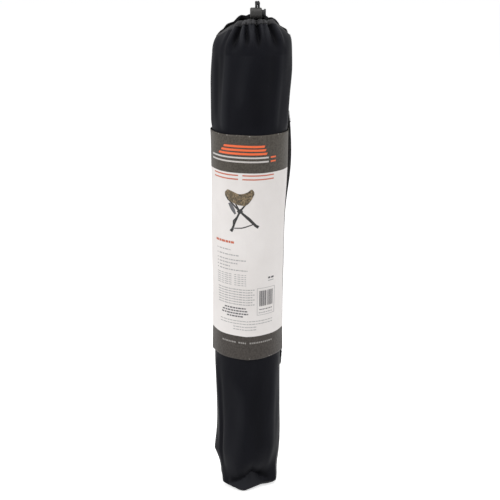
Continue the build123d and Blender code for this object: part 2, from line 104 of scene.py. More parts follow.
def smoothstep(low, high, x):
    """0 below low, 1 above high and a smooth rise between."""
    t = np.clip((x - low) / (high - low), 0, 1)
    return t * t * (3 - 2 * t)


def bump(x, middle, width):
    """Bell of height 1 at the middle."""
    return np.exp(-(((x - middle) / width) ** 2))


def crossed(u, v):
    """Two grids of values from two ranges, rows along the first and columns along the second."""
    return np.meshgrid(u, v, indexing="ij")


def circle(count):
    """Bearings in degrees, evenly spaced once round."""
    return np.linspace(0, 360, count, endpoint=False)


def length_along(points):
    """Distance along each row of a grid of points, from its start."""
    return np.cumsum(np.linalg.norm(np.diff(points, axis=1, prepend=points[:, :1]), axis=-1), 1)


def outwards(angle, rise):
    """Direction away from the middle at each angle in radians, with a rise to each unit outwards."""
    return np.stack([np.cos(angle), np.sin(angle), rise + 0 * angle], -1)


def turn_between(a, b):
    """Signed difference of two angles in degrees, from -180 to 180."""
    return (a - b + 180) % 360 - 180


def grid_piece(name, points, close_u=False, close_v=False, uv=None):
    """Mesh object from a grid of points, rows along u and columns along v; uv is the same grid of (u, v)."""
    points = np.asarray(points, float)
    nu, nv = points.shape[:2]
    i = np.arange(nu if close_u else nu - 1)
    j = np.arange(nv if close_v else nv - 1)
    a, b = crossed(i, j)
    a2, b2 = (a + 1) % nu, (b + 1) % nv
    faces = np.stack([a * nv + b, a2 * nv + b, a2 * nv + b2, a * nv + b2], -1).reshape(-1, 4)
    mesh = bpy.data.meshes.new(name)
    mesh.vertices.add(nu * nv)
    mesh.vertices.foreach_set("co", points.reshape(-1))
    mesh.loops.add(faces.size)
    mesh.loops.foreach_set("vertex_index", faces.reshape(-1).astype(np.int32))
    mesh.polygons.add(len(faces))
    mesh.polygons.foreach_set("loop_start", np.arange(0, faces.size, 4, dtype=np.int32))
    mesh.update(calc_edges=True)
    if uv is None:
        u, v = crossed(np.linspace(0, 1, nu), np.linspace(0, 1, nv))
        uv = np.stack([u, v], -1)
    step = np.asarray(uv, float).reshape(-1, 2)[faces.reshape(-1)]
    layer = mesh.uv_layers.new(name="UVMap")
    layer.data.foreach_set("uv", step.reshape(-1))
    return finish_mesh(name, mesh)


def finish_mesh(name, mesh):
    """Object at the origin with smooth faces."""
    mesh.validate()
    mesh.polygons.foreach_set("use_smooth", np.ones(len(mesh.polygons), bool))
    piece = bpy.data.objects.new(name, mesh)
    bpy.context.scene.collection.objects.link(piece)
    return piece


def add_values(piece, name, values):
    """Stores one number for each vertex, for a material to read."""
    layer = piece.data.attributes.new(name, "FLOAT", "POINT")
    layer.data.foreach_set("value", np.asarray(values, np.float32).reshape(-1))


def join_grids(name, grids, close_u=False, close_v=False):
    """One mesh object from several separate grids of the same kind."""
    parts = [grid_piece(f"{name}_{k}", g, close_u, close_v) for k, g in enumerate(grids)]
    return join_pieces(name, parts)


def join_pieces(name, parts):
    """Several objects made one, under a new name."""
    with bpy.context.temp_override(
        active_object=parts[0], object=parts[0], selected_objects=parts, selected_editable_objects=parts
    ):
        bpy.ops.object.join()
    parts[0].name = name
    parts[0].data.name = name
    return parts[0]


def add_wall(piece, thickness, offset=-1.0):
    """Gives a sheet its thickness."""
    wall = piece.modifiers.new("thickness", "SOLIDIFY")
    wall.thickness = thickness
    wall.offset = offset
    wall.use_even_offset = False
    return piece


def apply_modifiers(piece):
    """Leaves the finished mesh in place of the live modifiers."""
    graph = bpy.context.evaluated_depsgraph_get()
    mesh = bpy.data.meshes.new_from_object(piece.evaluated_get(graph))
    piece.modifiers.clear()
    old = piece.data
    piece.data = mesh
    bpy.data.meshes.remove(old)
    return piece


def turned_out(piece, weld=0.0):
    """Makes every face point outwards, after merging vertices that lie within the weld distance."""
    work = bmesh.new()
    work.from_mesh(piece.data)
    if weld:
        bmesh.ops.remove_doubles(work, verts=work.verts, dist=weld)
    bmesh.ops.recalc_face_normals(work, faces=work.faces)
    work.to_mesh(piece.data)
    work.free()
    return piece


def path_tangents(path, closed=False):
    """Unit direction along a path at each of its points: the line between the two points beside it."""
    if closed:
        tangent = np.roll(path, -1, 0) - np.roll(path, 1, 0)
    else:
        tangent = np.gradient(path, axis=0)
    tangent /= np.linalg.norm(tangent, axis=1)[:, None]
    return tangent


def path_sides(path, reference, closed=False):
    """Two unit directions across a path: one square to the path and the reference, and one square to both."""
    tangent = path_tangents(path, closed)
    side = np.cross(tangent, np.broadcast_to(np.asarray(reference, float), path.shape))
    side /= np.linalg.norm(side, axis=1)[:, None]
    return side, np.cross(side, tangent)


def out_and_side(turn):
    """Level unit directions away from the middle and round it, at an angle in radians."""
    out = np.array([math.cos(turn), math.sin(turn), 0])
    side = np.array([-math.sin(turn), math.cos(turn), 0])
    return out, side


def tube_points(path, radius, sides=16, closed=False, reference=UP):
    """Round tube about a path: a circle of the radius stands across the path at each of its points."""
    side, up = path_sides(path, reference, closed)
    angle = np.linspace(0, 2 * math.pi, sides, endpoint=False)
    radius = np.broadcast_to(np.asarray(radius, float), (len(path),))
    around = side[:, None] * np.cos(angle)[None, :, None] + up[:, None] * np.sin(angle)[None, :, None]
    return path[:, None] + around * radius[:, None, None]


# ------------------------------------------------------------------ material helpers


def new_group(name, inputs, outputs):
    """Empty shader node group with named sockets; inputs are (name, kind, default)."""
    group = bpy.data.node_groups.new(name, "ShaderNodeTree")
    for label, kind, value in inputs:
        socket = group.interface.new_socket(label, in_out="INPUT", socket_type=kind)
        if value is not None:
            socket.default_value = value
    for label, kind in outputs:
        group.interface.new_socket(label, in_out="OUTPUT", socket_type=kind)
    start = group.nodes.new("NodeGroupInput")
    end = group.nodes.new("NodeGroupOutput")
    return group, start, end


def node(tree, kind, **values):
    """New node with its properties set; a key that names an input sets that input."""
    made = tree.nodes.new(kind)
    for key, value in values.items():
        if hasattr(made, key):
            setattr(made, key, value)
        else:
            made.inputs[key.replace("_", " ")].default_value = value
    return made


def feed(tree, made, index, value):
    """Links a socket to a node's input, or sets the input to a value."""
    if isinstance(value, bpy.types.NodeSocket):
        tree.links.new(value, made.inputs[index])
    else:
        made.inputs[index].default_value = value


def mixed(tree, kind, factor, a, b):
    """Mix node for colours or floats, with each end a socket or a value."""
    made = tree.nodes.new("ShaderNodeMix")
    made.data_type = kind
    first, second, out = (6, 7, 2) if kind == "RGBA" else (2, 3, 0)
    for index, value in ((0, factor), (first, a), (second, b)):
        feed(tree, made, index, value)
    return made.outputs[out]


def calc(tree, operation, a, b=0.0, clamp=False):
    """Math node."""
    made = tree.nodes.new("ShaderNodeMath")
    made.operation = operation
    made.use_clamp = clamp
    for index, value in ((0, a), (1, b)):
        feed(tree, made, index, value)
    return made.outputs[0]


def varied(tree, value, amount, base, clamp=False):
    """A socket times an amount, plus a base."""
    return calc(tree, "ADD", calc(tree, "MULTIPLY", value, amount), base, clamp)


def ramped(tree, value, stops):
    """Colour ramp over a socket; stops are (place, grey)."""
    made = tree.nodes.new("ShaderNodeValToRGB")
    elements = made.color_ramp.elements
    while len(elements) < len(stops):
        elements.new(0.5)
    for element, (place, grey) in zip(elements, stops):
        element.position = place
        element.color = (grey, grey, grey, 1)
    tree.links.new(value, made.inputs[0])
    return made.outputs[0]


def make_weave_group():
    """Plain weave: two sets of threads over and under each other, with slow patches of lighter wear."""
    group, start, end = new_group(
        "weave",
        [("Vector", "NodeSocketVector", None), ("Threads", "NodeSocketFloat", 900.0),
         ("Patch Size", "NodeSocketFloat", 14.0)],
        [("Height", "NodeSocketFloat"), ("Patches", "NodeSocketFloat"), ("Fuzz", "NodeSocketFloat")],
    )
    scaled = node(group, "ShaderNodeVectorMath", operation="SCALE")
    group.links.new(start.outputs["Vector"], scaled.inputs[0])
    group.links.new(start.outputs["Threads"], scaled.inputs["Scale"])
    split = node(group, "ShaderNodeSeparateXYZ")
    group.links.new(scaled.outputs[0], split.inputs[0])
    warp = calc(group, "SINE", split.outputs["X"])
    weft = calc(group, "SINE", split.outputs["Y"])
    rib = calc(group, "SINE", split.outputs["Z"])
    product = calc(group, "MULTIPLY", warp, calc(group, "ADD", weft, rib))
    height = calc(group, "MULTIPLY", calc(group, "ADD", product, 2.0), 0.25)
    patches = node(group, "ShaderNodeTexNoise", Detail=4.0, Roughness=0.6)
    group.links.new(start.outputs["Vector"], patches.inputs["Vector"])
    group.links.new(start.outputs["Patch Size"], patches.inputs["Scale"])
    fuzz = node(group, "ShaderNodeTexNoise", Scale=700.0, Detail=3.0, Roughness=0.7)
    group.links.new(start.outputs["Vector"], fuzz.inputs["Vector"])
    group.links.new(height, end.inputs["Height"])
    group.links.new(patches.outputs["Fac"], end.inputs["Patches"])
    group.links.new(fuzz.outputs["Fac"], end.inputs["Fuzz"])
    return group


def make_wear_group():
    """Scuffs: fine scratches and dull patches, stronger where the surface is pointed or edged."""
    group, start, end = new_group(
        "wear",
        [("Vector", "NodeSocketVector", None), ("Amount", "NodeSocketFloat", 0.5),
         ("Grain", "NodeSocketFloat", 600.0)],
        [("Mask", "NodeSocketFloat"), ("Grain Height", "NodeSocketFloat"), ("Dust", "NodeSocketFloat")],
    )
    geometry = node(group, "ShaderNodeNewGeometry")
    edges = ramped(group, geometry.outputs["Pointiness"], [(0.50, 0.0), (0.58, 1.0)])
    scuffs = node(group, "ShaderNodeTexNoise", Scale=60.0, Detail=6.0, Roughness=0.7)
    group.links.new(start.outputs["Vector"], scuffs.inputs["Vector"])
    broken = ramped(group, scuffs.outputs["Fac"], [(0.48, 0.0), (0.66, 1.0)])
    scuffed = calc(group, "MULTIPLY", edges, broken)
    mask = calc(group, "MULTIPLY", scuffed, start.outputs["Amount"], clamp=True)
    grain = node(group, "ShaderNodeTexNoise", Detail=2.0, Roughness=0.5)
    group.links.new(start.outputs["Vector"], grain.inputs["Vector"])
    group.links.new(start.outputs["Grain"], grain.inputs["Scale"])
    dust = node(group, "ShaderNodeTexNoise", Scale=9.0, Detail=5.0, Roughness=0.65)
    group.links.new(start.outputs["Vector"], dust.inputs["Vector"])
    group.links.new(mask, end.inputs["Mask"])
    group.links.new(grain.outputs["Fac"], end.inputs["Grain Height"])
    group.links.new(dust.outputs["Fac"], end.inputs["Dust"])
    return group


WEAVE = make_weave_group()
WEAR = make_wear_group()


def new_material(name):
    """Material with an empty Principled shader; returns the material, its tree and the shader."""
    material = bpy.data.materials.new(name)
    material.use_nodes = True
    tree = material.node_tree
    shader = tree.nodes["Principled BSDF"]
    return material, tree, shader


def surface_vector(tree, from_uv, scale=(1, 1, 1)):
    """Object coordinates, or the piece's own UV map stretched to metres by scale."""
    coordinates = tree.nodes.new("ShaderNodeTexCoord")
    mapping = node(tree, "ShaderNodeMapping", Scale=scale)
    tree.links.new(coordinates.outputs["UV" if from_uv else "Object"], mapping.inputs["Vector"])
    return mapping.outputs["Vector"]


def bumped(tree, shader, height, distance, strength):
    """Bump from a height socket into the shader's normal."""
    made = node(tree, "ShaderNodeBump", Strength=strength, Distance=distance)
    tree.links.new(height, made.inputs["Height"])
    tree.links.new(made.outputs["Normal"], shader.inputs["Normal"])


def placed_group(tree, group, vector, **values):
    """Effect group put into a material, with its vector linked and its own values set."""
    made = node(tree, "ShaderNodeGroup", node_tree=group)
    for label, value in values.items():
        made.inputs[label.replace("_", " ")].default_value = value
    tree.links.new(vector, made.inputs["Vector"])
    return made


def painted(piece, material):
    """Puts one material on a piece in place of any it has."""
    piece.data.materials.clear()
    piece.data.materials.append(material)


def cloth_material(name, color, worn, threads=2400.0, sheen=0.25, from_uv=False, scale=(1, 1, 1),
                   roughness=0.72, depth=0.00018, patch=14.0, specular=0.2, ridge_highlight=None):
    """Woven cloth: threads in relief, slow patches of a worn tone and a soft sheen.

    With a ridge colour given, the piece's per-vertex shading values paint shade into its creases and paint a
    highlight on its ridges, towards that colour.
    """
    material, tree, shader = new_material(name)
    vector = surface_vector(tree, from_uv, scale)
    weave = placed_group(tree, WEAVE, vector, Threads=threads, Patch_Size=patch)
    patches = ramped(tree, weave.outputs["Patches"], [(0.42, 0.0), (0.70, 1.0)])
    tone = mixed(tree, "RGBA", patches, (*color, 1), (*worn, 1))
    # Painted shade darkens the creases and a painted highlight lightens the ridges, both read from the
    # piece's per-vertex values.
    if ridge_highlight:
        painted_shading = node(tree, "ShaderNodeAttribute", attribute_name="painted_shading").outputs["Fac"]
        crease = ramped(tree, painted_shading, [(0.05, 1.0), (0.48, 0.0)])
        ridge = ramped(tree, painted_shading, [(0.52, 0.0), (0.95, 1.0)])
        tone = mixed(tree, "RGBA", crease, tone, (*[c * 0.25 for c in color], 1))
        tone = mixed(tree, "RGBA", ridge, tone, (*ridge_highlight, 1))
    threads_tone = calc(tree, "MULTIPLY", weave.outputs["Height"], 0.45)
    dark = mixed(tree, "RGBA", threads_tone, tone, (*[c * 1.5 for c in worn], 1))
    tree.links.new(dark, shader.inputs["Base Color"])
    tree.links.new(varied(tree, weave.outputs["Fuzz"], 0.2, roughness - 0.1), shader.inputs["Roughness"])
    relief = calc(tree, "ADD", weave.outputs["Height"], calc(tree, "MULTIPLY", weave.outputs["Fuzz"], 0.6))
    bumped(tree, shader, relief, depth, 0.6)
    shader.inputs["Sheen Weight"].default_value = sheen
    shader.inputs["Sheen Roughness"].default_value = 0.45
    shader.inputs["Specular IOR Level"].default_value = specular
    return material


def moulded_material(name, color, worn, roughness=0.5, grain=900.0, depth=0.00006, metallic=0.0,
                     amount=0.5, specular=0.5):
    """Moulded or coated part: fine grain, scuffed edges and a little dust."""
    material, tree, shader = new_material(name)
    vector = surface_vector(tree, False)
    wear = placed_group(tree, WEAR, vector, Amount=amount, Grain=grain)
    dusty = ramped(tree, wear.outputs["Dust"], [(0.5, 0.0), (0.8, 0.35)])
    base = mixed(tree, "RGBA", dusty, (*color, 1), (*[0.6 * c + 0.4 * w for c, w in zip(color, worn)], 1))
    tone = mixed(tree, "RGBA", wear.outputs["Mask"], base, (*worn, 1))
    tree.links.new(tone, shader.inputs["Base Color"])
    rough = varied(tree, wear.outputs["Dust"], 0.3, roughness - 0.15, clamp=True)
    tree.links.new(rough, shader.inputs["Roughness"])
    bumped(tree, shader, wear.outputs["Grain Height"], depth, 0.7)
    shader.inputs["Metallic"].default_value = metallic
    shader.inputs["Specular IOR Level"].default_value = specular
    return material


def printed_material(name, color, roughness=0.45):
    """Printing ink on coated card: the colour broken up a little by the card's grain."""
    material, tree, shader = new_material(name)
    vector = surface_vector(tree, False)
    wear = placed_group(tree, WEAR, vector)
    speckle = ramped(tree, wear.outputs["Grain Height"], [(0.35, 0.0), (0.65, 0.25)])
    tone = mixed(tree, "RGBA", speckle, (*color, 1), (*[min(1.0, c * 0.85 + 0.02) for c in color], 1))
    tree.links.new(tone, shader.inputs["Base Color"])
    tree.links.new(varied(tree, wear.outputs["Dust"], 0.2, roughness - 0.1), shader.inputs["Roughness"])
    bumped(tree, shader, wear.outputs["Grain Height"], 0.00002, 0.5)
    return material


# ------------------------------------------------------------------ bag: its outline, folds and mouth

BAG_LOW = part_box("bag_base")[0][2]
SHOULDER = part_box("bag_shell")[1][2]
MOUTH_X = sum(corner[0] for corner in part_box("mouth_hem")) / 2
MOUTH_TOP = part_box("mouth_hem")[1][2]
CLOTH = 0.8 * MM
SLEEVE_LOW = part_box("label_sleeve")[0][2]
SLEEVE_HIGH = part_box("label_sleeve")[1][2]

# Heights, half-widths and the way the bag leans, all in millimetres.
OUTLINE_Z = (0, 8, 20, 32, 44, 56, 80, 105, 150, 205, 300, 358, 420, 484, 530, 573, 612, 636, 650)
OUTLINE_R = (39.0, 41.0, 41.6, 43.2, 45.2, 46.2, 46.0, 45.6, 46.0, 46.8, 47.9, 48.9, 49.9, 51.4, 51.9,
             53.4, 54.6, 54.0, 52.6)
LEAN_Z = (0, 54, 105, 154, 227, 300, 416, 461, 529, 573, 616, 660)
LEAN_X = (0.0, -1.6, -0.4, -0.8, -1.6, -1.3, -0.6, 0.8, 1.4, 2.7, 5.0, 6.4)

# Long soft folds: low and high end (mm), their bearings (degrees), half-width (degrees), height (mm).
FOLDS = (
    (455, 668, 226, 233, 6.0, 2.4),
    (530, 640, 214, 209, 7.0, -1.5),
    (500, 664, 312, 314, 4.5, 1.1),
    (520, 650, 303, 300, 8.0, -1.3),
    (545, 668, 256, 262, 10.0, 1.3),
    (480, 650, 281, 286, 13.0, -1.0),
    (380, 640, 192, 188, 8.0, 1.6),
    (420, 650, 340, 347, 9.0, 1.7),
    (60, 210, 208, 200, 5.0, 1.6),
    (10, 190, 216, 212, 6.0, -1.5),
    (20, 205, 318, 322, 7.0, 1.2),
    (30, 200, 296, 290, 14.0, -0.9),
    (15, 180, 252, 256, 12.0, 1.0),
    (40, 640, 20, 14, 9.0, 1.4),
    (60, 600, 62, 70, 12.0, -1.8),
    (30, 640, 98, 92, 10.0, 1.6),
    (60, 650, 132, 140, 11.0, -1.7),
    (90, 640, 164, 158, 9.0, 1.5),
)


def fold_relief(bearing, height):
    """Sum of the long folds: each is a bell across and fades in and out along its length."""
    total = np.zeros(np.broadcast(bearing, height).shape)
    for low, high, low_bearing, high_bearing, width, size in FOLDS:
        share = (height / MM - low) / (high - low)
        middle = low_bearing + (high_bearing - low_bearing) * np.clip(share, 0, 1)
        along = smoothstep(0, 0.3, share) * (1 - smoothstep(0.8, 1.0, share))
        total = total + size * MM * along * bump(turn_between(bearing, middle), 0, width)
    return total


# Slack in the cloth: size (mm), waves once round, height for one radian (mm) and phase.
WAVES = ((0.45, 3, 61.0, 0.6), (0.30, 5, -38.0, 2.1), (0.22, 8, 23.0, 4.0), (0.12, 13, -15.0, 1.0))


def slow_waves(bearing, height):
    """Slack in the cloth: a few long waves that run slantwise round and up the bag."""
    angle = np.radians(bearing)
    total = 0.0
    for size, turns, rise, phase in WAVES:
        total = total + size * np.sin(turns * angle + height / MM / rise + phase)
    return MM * total


def plain_radius(height):
    """The bag's radius without folds."""
    return smooth_through(OUTLINE_Z, OUTLINE_R, height / MM) * MM


def lean(height):
    """Sideways shift of the bag's middle."""
    return smooth_through(LEAN_Z, LEAN_X, height / MM) * MM


# The base, in millimetres and degrees: the crease's depth, the rounding of the edge and how far it lifts.
TOE_DEPTH = 12.0
TOE_DECAY = 9.0
BELLY_SIZE = 2.0
EDGE_ROUND = 3.5
TIP_LIFT = 2.0
SIDE_LIFT = 4.0
BASE_TOP = 74 * MM
LIFT_TOP = 45 * MM
SEAM_BEARING = 279.0
SEAM_HALF = 58.0
SEAM_LOW = 6.0
SEAM_RISE = 21.0

# Straight edges of the base at the front: the bearing each faces, and its distance from the middle (mm).
BASE_EDGES = ((186.0, 39.4), (231.0, 40.2), (302.9, 32.0), (352.0, 41.0))
TIP_BEARING = 258.0
TIP_REACH = 42.0
FEET = [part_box(f"leg_foot_{number}") for number in (1, 2, 3)]
FOOT_RADIUS = (FEET[0][1][0] - FEET[0][0][0]) / 2
COLLAR_SHARE = 0.73
FOOT_HEIGHTS = (13.5, 20.5, 45.0, 60.0)
FOOT_SHARES = (1.0, COLLAR_SHARE, COLLAR_SHARE, 0.4)
FOOT_ROOM = 1.1 * MM

# The stool's bulge low on the left and the seam beside it: bearing, size (mm) and height (mm).
BULGE = (186, 4.0, 56)
SIDE_SEAM = (213, -1.6, 72)


def base_radius(bearing, radius):
    """Radius at the base: straight edges in front, two of which meet in a point, and the outline behind."""
    front = 1 - smoothstep(82, 104, np.abs(turn_between(bearing, FRONT)))
    reach = np.full(np.shape(bearing), TIP_REACH)
    for facing, distance in BASE_EDGES:
        across = np.cos(np.radians(np.clip(turn_between(bearing, facing), -75, 75)))
        reach = np.minimum(reach, distance / across)
    return radius + (reach * MM - radius) * front


def base_lift(bearing):
    """Height of the base's edge: on the floor at the point and behind, and lifted a little at both sides."""
    away = np.abs(turn_between(bearing, TIP_BEARING))
    low_right = 1 - 0.5 * bump(turn_between(bearing, 353.5), 0, 25)
    rise = TIP_LIFT + SIDE_LIFT * np.clip(away / 56, 0, 1) * low_right
    return rise * MM * (1 - smoothstep(95, 140, away))


def feet_reach(bearing, height):
    """How far out the rubber feet reach at a bearing: the far crossing of a ray with each foot's circle."""
    angle = np.radians(bearing)
    radius = FOOT_RADIUS * np.interp(height / MM, FOOT_HEIGHTS, FOOT_SHARES)
    reach = np.zeros(np.shape(bearing))
    for low, high in FEET:
        x, y = (low[0] + high[0]) / 2, (low[1] + high[1]) / 2
        along = x * np.cos(angle) + y * np.sin(angle)
        aside = x * np.sin(angle) - y * np.cos(angle)
        crossing = along + np.sqrt(np.clip(radius ** 2 - aside ** 2, 0, None))
        reach = np.maximum(reach, np.where(np.abs(aside) < radius, crossing, 0))
    return reach + FOOT_ROOM


def base_seam(bearing):
    """Height of the seam round the base panel: low at the sides and an upturned V at the front."""
    away = np.abs(turn_between(bearing, SEAM_BEARING))
    return (SEAM_LOW + SEAM_RISE * np.clip(1 - away / SEAM_HALF, 0, 1)) * MM


def toe_relief(bearing, height):
    """Crease over the front foot: the cloth sinks to the seam from above and runs out again below it.

    Above the seam the depth dies away over TOE_DECAY; below it the surface slopes straight out to the edge.
    The crease is deep only between the front foot and the right one, where there is room inside.
    """
    seam = base_seam(bearing)
    above = (height - seam) / MM
    turn = turn_between(bearing, FRONT)
    share = smoothstep(-42, -2, turn) * (1 - smoothstep(34, 64, turn))
    share = 0.30 * smoothstep(-62, -40, turn) * (1 - smoothstep(34, 64, turn)) + 0.70 * share
    upper = np.exp(-np.clip(above, 0, None) / TOE_DECAY)
    lower = np.clip(height / seam, 0, 1)
    depth = np.where(above > 0, upper, lower) * TOE_DEPTH * share
    belly = BELLY_SIZE * bump(above, 22, 13) * share
    return (belly - depth) * MM


def toe_painted_shading(bearing, height):
    """Painted shading round the crease: a painted shadow in a narrow band above the seam and painted light on
    the paler face below it.
    """
    above = (height - base_seam(bearing)) / MM
    turn = turn_between(bearing, FRONT)
    share = smoothstep(-56, -30, turn) * (1 - smoothstep(44, 66, turn))
    return share * np.where(above > -0.5, -1.5 * np.exp(-above / 7.5), 0.85 * smoothstep(0.5, 3.0, -above))


def under_sleeve(height):
    """1 where the card sleeve presses the cloth flat, 0 clear of it."""
    return smoothstep(SLEEVE_LOW - 12 * MM, SLEEVE_LOW, height) * (
        1 - smoothstep(SLEEVE_HIGH, SLEEVE_HIGH + 14 * MM, height)
    )


def bag_side(bearing, height):
    """Point on the bag: its outline, long folds and slack, and the feet that push out its base."""
    angle = np.radians(bearing)
    relief = (fold_relief(bearing, height) + slow_waves(bearing, height)) * (1 - under_sleeve(height))
    relief = relief + 0.25 * slow_waves(bearing, height) * under_sleeve(height)
    radius = plain_radius(height)
    near_base = 1 - smoothstep(4 * MM, BASE_TOP, height)
    to_base = (base_radius(bearing, radius) - radius) * near_base
    radius = radius + to_base + relief + toe_relief(bearing, height)
    place, size, middle = BULGE
    left_bulge = size * bump(turn_between(bearing, place), 0, 16) * np.exp(-np.abs(height / MM - middle) / 15)
    place, size, middle = SIDE_SEAM
    side_seam = size * bump(turn_between(bearing, place), 0, 4) * bump(height / MM, middle, 34)
    radius = radius + (left_bulge + side_seam) * MM
    radius = np.maximum(radius, feet_reach(bearing, height))
    foot = np.clip(height / (EDGE_ROUND * MM), 0, 1)
    radius = radius - EDGE_ROUND * MM * (1 - np.sqrt(1 - (1 - foot) ** 2))
    x = lean(height) + radius * np.cos(angle)
    z = height + base_lift(bearing) * (1 - smoothstep(0, LIFT_TOP, height))
    return np.stack(np.broadcast_arrays(x, radius * np.sin(angle), z), -1)


# Grooves between the gathers: bearing at the edge and at the shoulder, depth (mm), half-width (degrees).
GROOVES = (
    (250, 239, 9.5, 4.6),
    (257, 264, 6.5, 3.2),
    (275, 281, 9.0, 3.8),
    (294, 310, 8.5, 4.6),
    (285, 291, 3.5, 2.6),
    (237, 226, 2.5, 4.0),
    (266, 272, 2.5, 2.4),
    (14, 22, 1.5, 6.0),
    (38, 44, 3.0, 6.0),
    (62, 66, 4.0, 5.0),
    (84, 86, 3.5, 5.5),
    (105, 104, 4.5, 5.0),
    (128, 122, 3.0, 6.0),
    (152, 146, 1.5, 6.0),
)


# The edge from shoulder to shoulder: x and the height below its highest point, in millimetres.
EDGE_X = (-42.0, -29.0, -9.5, 10.0, 31.0, 44.0, 56.0)
EDGE_DROP = (21.5, 12.5, 1.0, 0.0, 1.0, 10.5, 22.5)
EDGE_MARGIN = 1.8
BACK_RISE = 4.2
MOUTH_MIDDLE = 7.0
MOUTH_HALF = 48.0
MOUTH_OPEN = 7.0
MOUTH_SWELL = 8.5
SWELL_PLACE = 10.5
SWELL_HALF = 22.0

# The neck: where it starts below the shoulder, how high its roof stands and how far it draws in, as shares.
NECK_DROP = 16 * MM
ROOF_HIGH = 0.80
ROOF_RIGHT = 0.13
ROOF_IN = 0.03
PLEAT_RISE = 0.45


def mouth_edge(bearing):
    """The gathered edge, drawn nearly shut from front to back: level near the lock, low at both shoulders."""
    angle = np.radians(bearing)
    x = MOUTH_MIDDLE + MOUTH_HALF * np.sign(np.cos(angle)) * np.abs(np.cos(angle)) ** 1.1
    width = MOUTH_OPEN + MOUTH_SWELL * bump(x, SWELL_PLACE, SWELL_HALF)
    back = BACK_RISE * smoothstep(-0.2, 0.9, np.sin(angle)) * (1 - 0.6 * smoothstep(15, 30, x))
    drop = np.interp(x, EDGE_X, EDGE_DROP) + 0.25 * np.sin(angle * 9 + 1.0) - back
    return np.stack([x * MM, width * MM * np.sin(angle), MOUTH_TOP - (EDGE_MARGIN + drop) * MM], -1)


def gathers(bearing, share):
    """Depth of the gathers in millimetres: each groove is a narrow valley with a low ridge on both sides."""
    relief = np.zeros(np.broadcast(bearing, share).shape)
    for top, bottom, depth, width in GROOVES:
        away = turn_between(bearing, bottom + (top - bottom) * share)
        spread = width * (1.25 - 0.45 * share)
        groove = np.exp(-np.abs(away / spread) ** 1.5)
        ridge = 0.35 * (bump(away, -2.1 * spread, spread) + bump(away, 2.1 * spread, spread))
        relief = relief + depth * (ridge - groove) * smoothstep(0.05, 0.60, share) * (1 - 0.45 * share ** 6)
    return relief


def neck(bearing, share):
    """Gathered neck from the shoulder (0) to the mouth's edge (1): a rounded roof with pleats in its top."""
    low = bag_side(bearing, np.full_like(share, SHOULDER) - NECK_DROP)
    high = mouth_edge(bearing)
    t = share[..., None]
    corner = low.copy()
    angle = np.radians(bearing)
    roof = ROOF_HIGH + ROOF_RIGHT * np.cos(angle)
    corner[..., 2] = low[..., 2] + roof * (high[..., 2] - low[..., 2])
    corner[..., :2] = low[..., :2] + ROOF_IN * (high[..., :2] - low[..., :2])
    point = low * (1 - t) ** 2 + corner * 2 * t * (1 - t) + high * t * t
    outward = outwards(angle, PLEAT_RISE)
    outward /= np.linalg.norm(outward, axis=-1)[..., None]
    return point + outward * (gathers(bearing, share) * MM)[..., None]


# Grid of the cloth, its length round in its own map, and the relief (mm) that gives full painted shade in a
# hollow or full painted highlight on a ridge.
BAG_ROUND = 252
BAG_RISE = 150
NECK_RISE = 40
ROUND_LENGTH = 0.32
FOLD_FULL_SHADING = 3.5
WAVE_FULL_SHADING = 3.0
GROOVE_FULL_SHADING = 3.0


def make_bag():
    """The bag's cloth in one sheet, from under the base panel's edge up to the gathered mouth."""
    bearing = circle(BAG_ROUND)
    spread = np.linspace(0, 1, BAG_RISE)
    height = BAG_LOW + (SHOULDER - NECK_DROP - BAG_LOW) * (spread * 0.62 + 0.38 * spread ** 1.6)
    b, h = crossed(bearing, height)
    side = bag_side(b, h)
    b2, s2 = crossed(bearing, np.linspace(0, 1, NECK_RISE)[1:])
    top = neck(b2, s2)
    points = np.concatenate([side, top], 1)
    around = np.broadcast_to((bearing / 360)[:, None], points.shape[:2])
    uv = np.stack([around * ROUND_LENGTH, length_along(points)], -1)
    # Painted shading: painted shade in the hollows of folds, waves and gathers and painted highlight on their
    # ridges, with the toe's painted shadow; none under the sleeve.
    low_painted_shading = toe_painted_shading(b, h) + fold_relief(b, h) / MM / FOLD_FULL_SHADING + slow_waves(b, h) / MM / WAVE_FULL_SHADING
    painted_shading = np.concatenate([low_painted_shading * (1 - under_sleeve(h)), gathers(b2, s2) / GROOVE_FULL_SHADING], 1)
    piece = grid_piece("bag_cloth", points, close_u=True, uv=uv)
    add_values(piece, "painted_shading", 0.5 + 0.5 * np.clip(painted_shading, -1, 1))
    add_wall(piece, CLOTH, -1.0)
    return piece


PANEL_HOLLOW = 0.8 * MM


def make_base_panel():
    """Base panel: the bag's lowest outline drawn in to the middle, a little hollow underneath."""
    bearing = circle(BAG_ROUND)
    share = np.linspace(0.02, 1, 26)
    b, s = crossed(bearing, share)
    rim = bag_side(b, np.full_like(b, BAG_LOW))
    middle = np.array([0.0, 0.0, BAG_LOW])
    points = middle + (rim - middle) * s[..., None]
    points[..., 2] = BAG_LOW + PANEL_HOLLOW * (1 - s ** 6) + base_lift(b) * s ** 8
    piece = grid_piece("bag_floor", points, close_u=True)
    add_wall(piece, CLOTH, -1.0)
    return piece


# The bag's ridge colour is a painted highlight, and its creases take painted shade.
bag_black = cloth_material(
    "bag_black", (0.0052, 0.0054, 0.0075), (0.0070, 0.0072, 0.0094), threads=2600.0, sheen=0.01,
    from_uv=True, roughness=0.5, depth=0.00010, patch=16.0, specular=0.035, ridge_highlight=(0.020, 0.0205, 0.024),
)
hem_black = cloth_material(
    "hem_black", (0.012, 0.012, 0.014), (0.030, 0.029, 0.031), threads=1900.0, sheen=0.08,
    from_uv=True, roughness=0.75, depth=0.00025, patch=30.0,
)
web_black = cloth_material(
    "web_black", (0.010, 0.010, 0.011), (0.022, 0.022, 0.024), threads=3800.0, sheen=0.25,
    from_uv=True, roughness=0.7, depth=0.00035, patch=24.0,
)

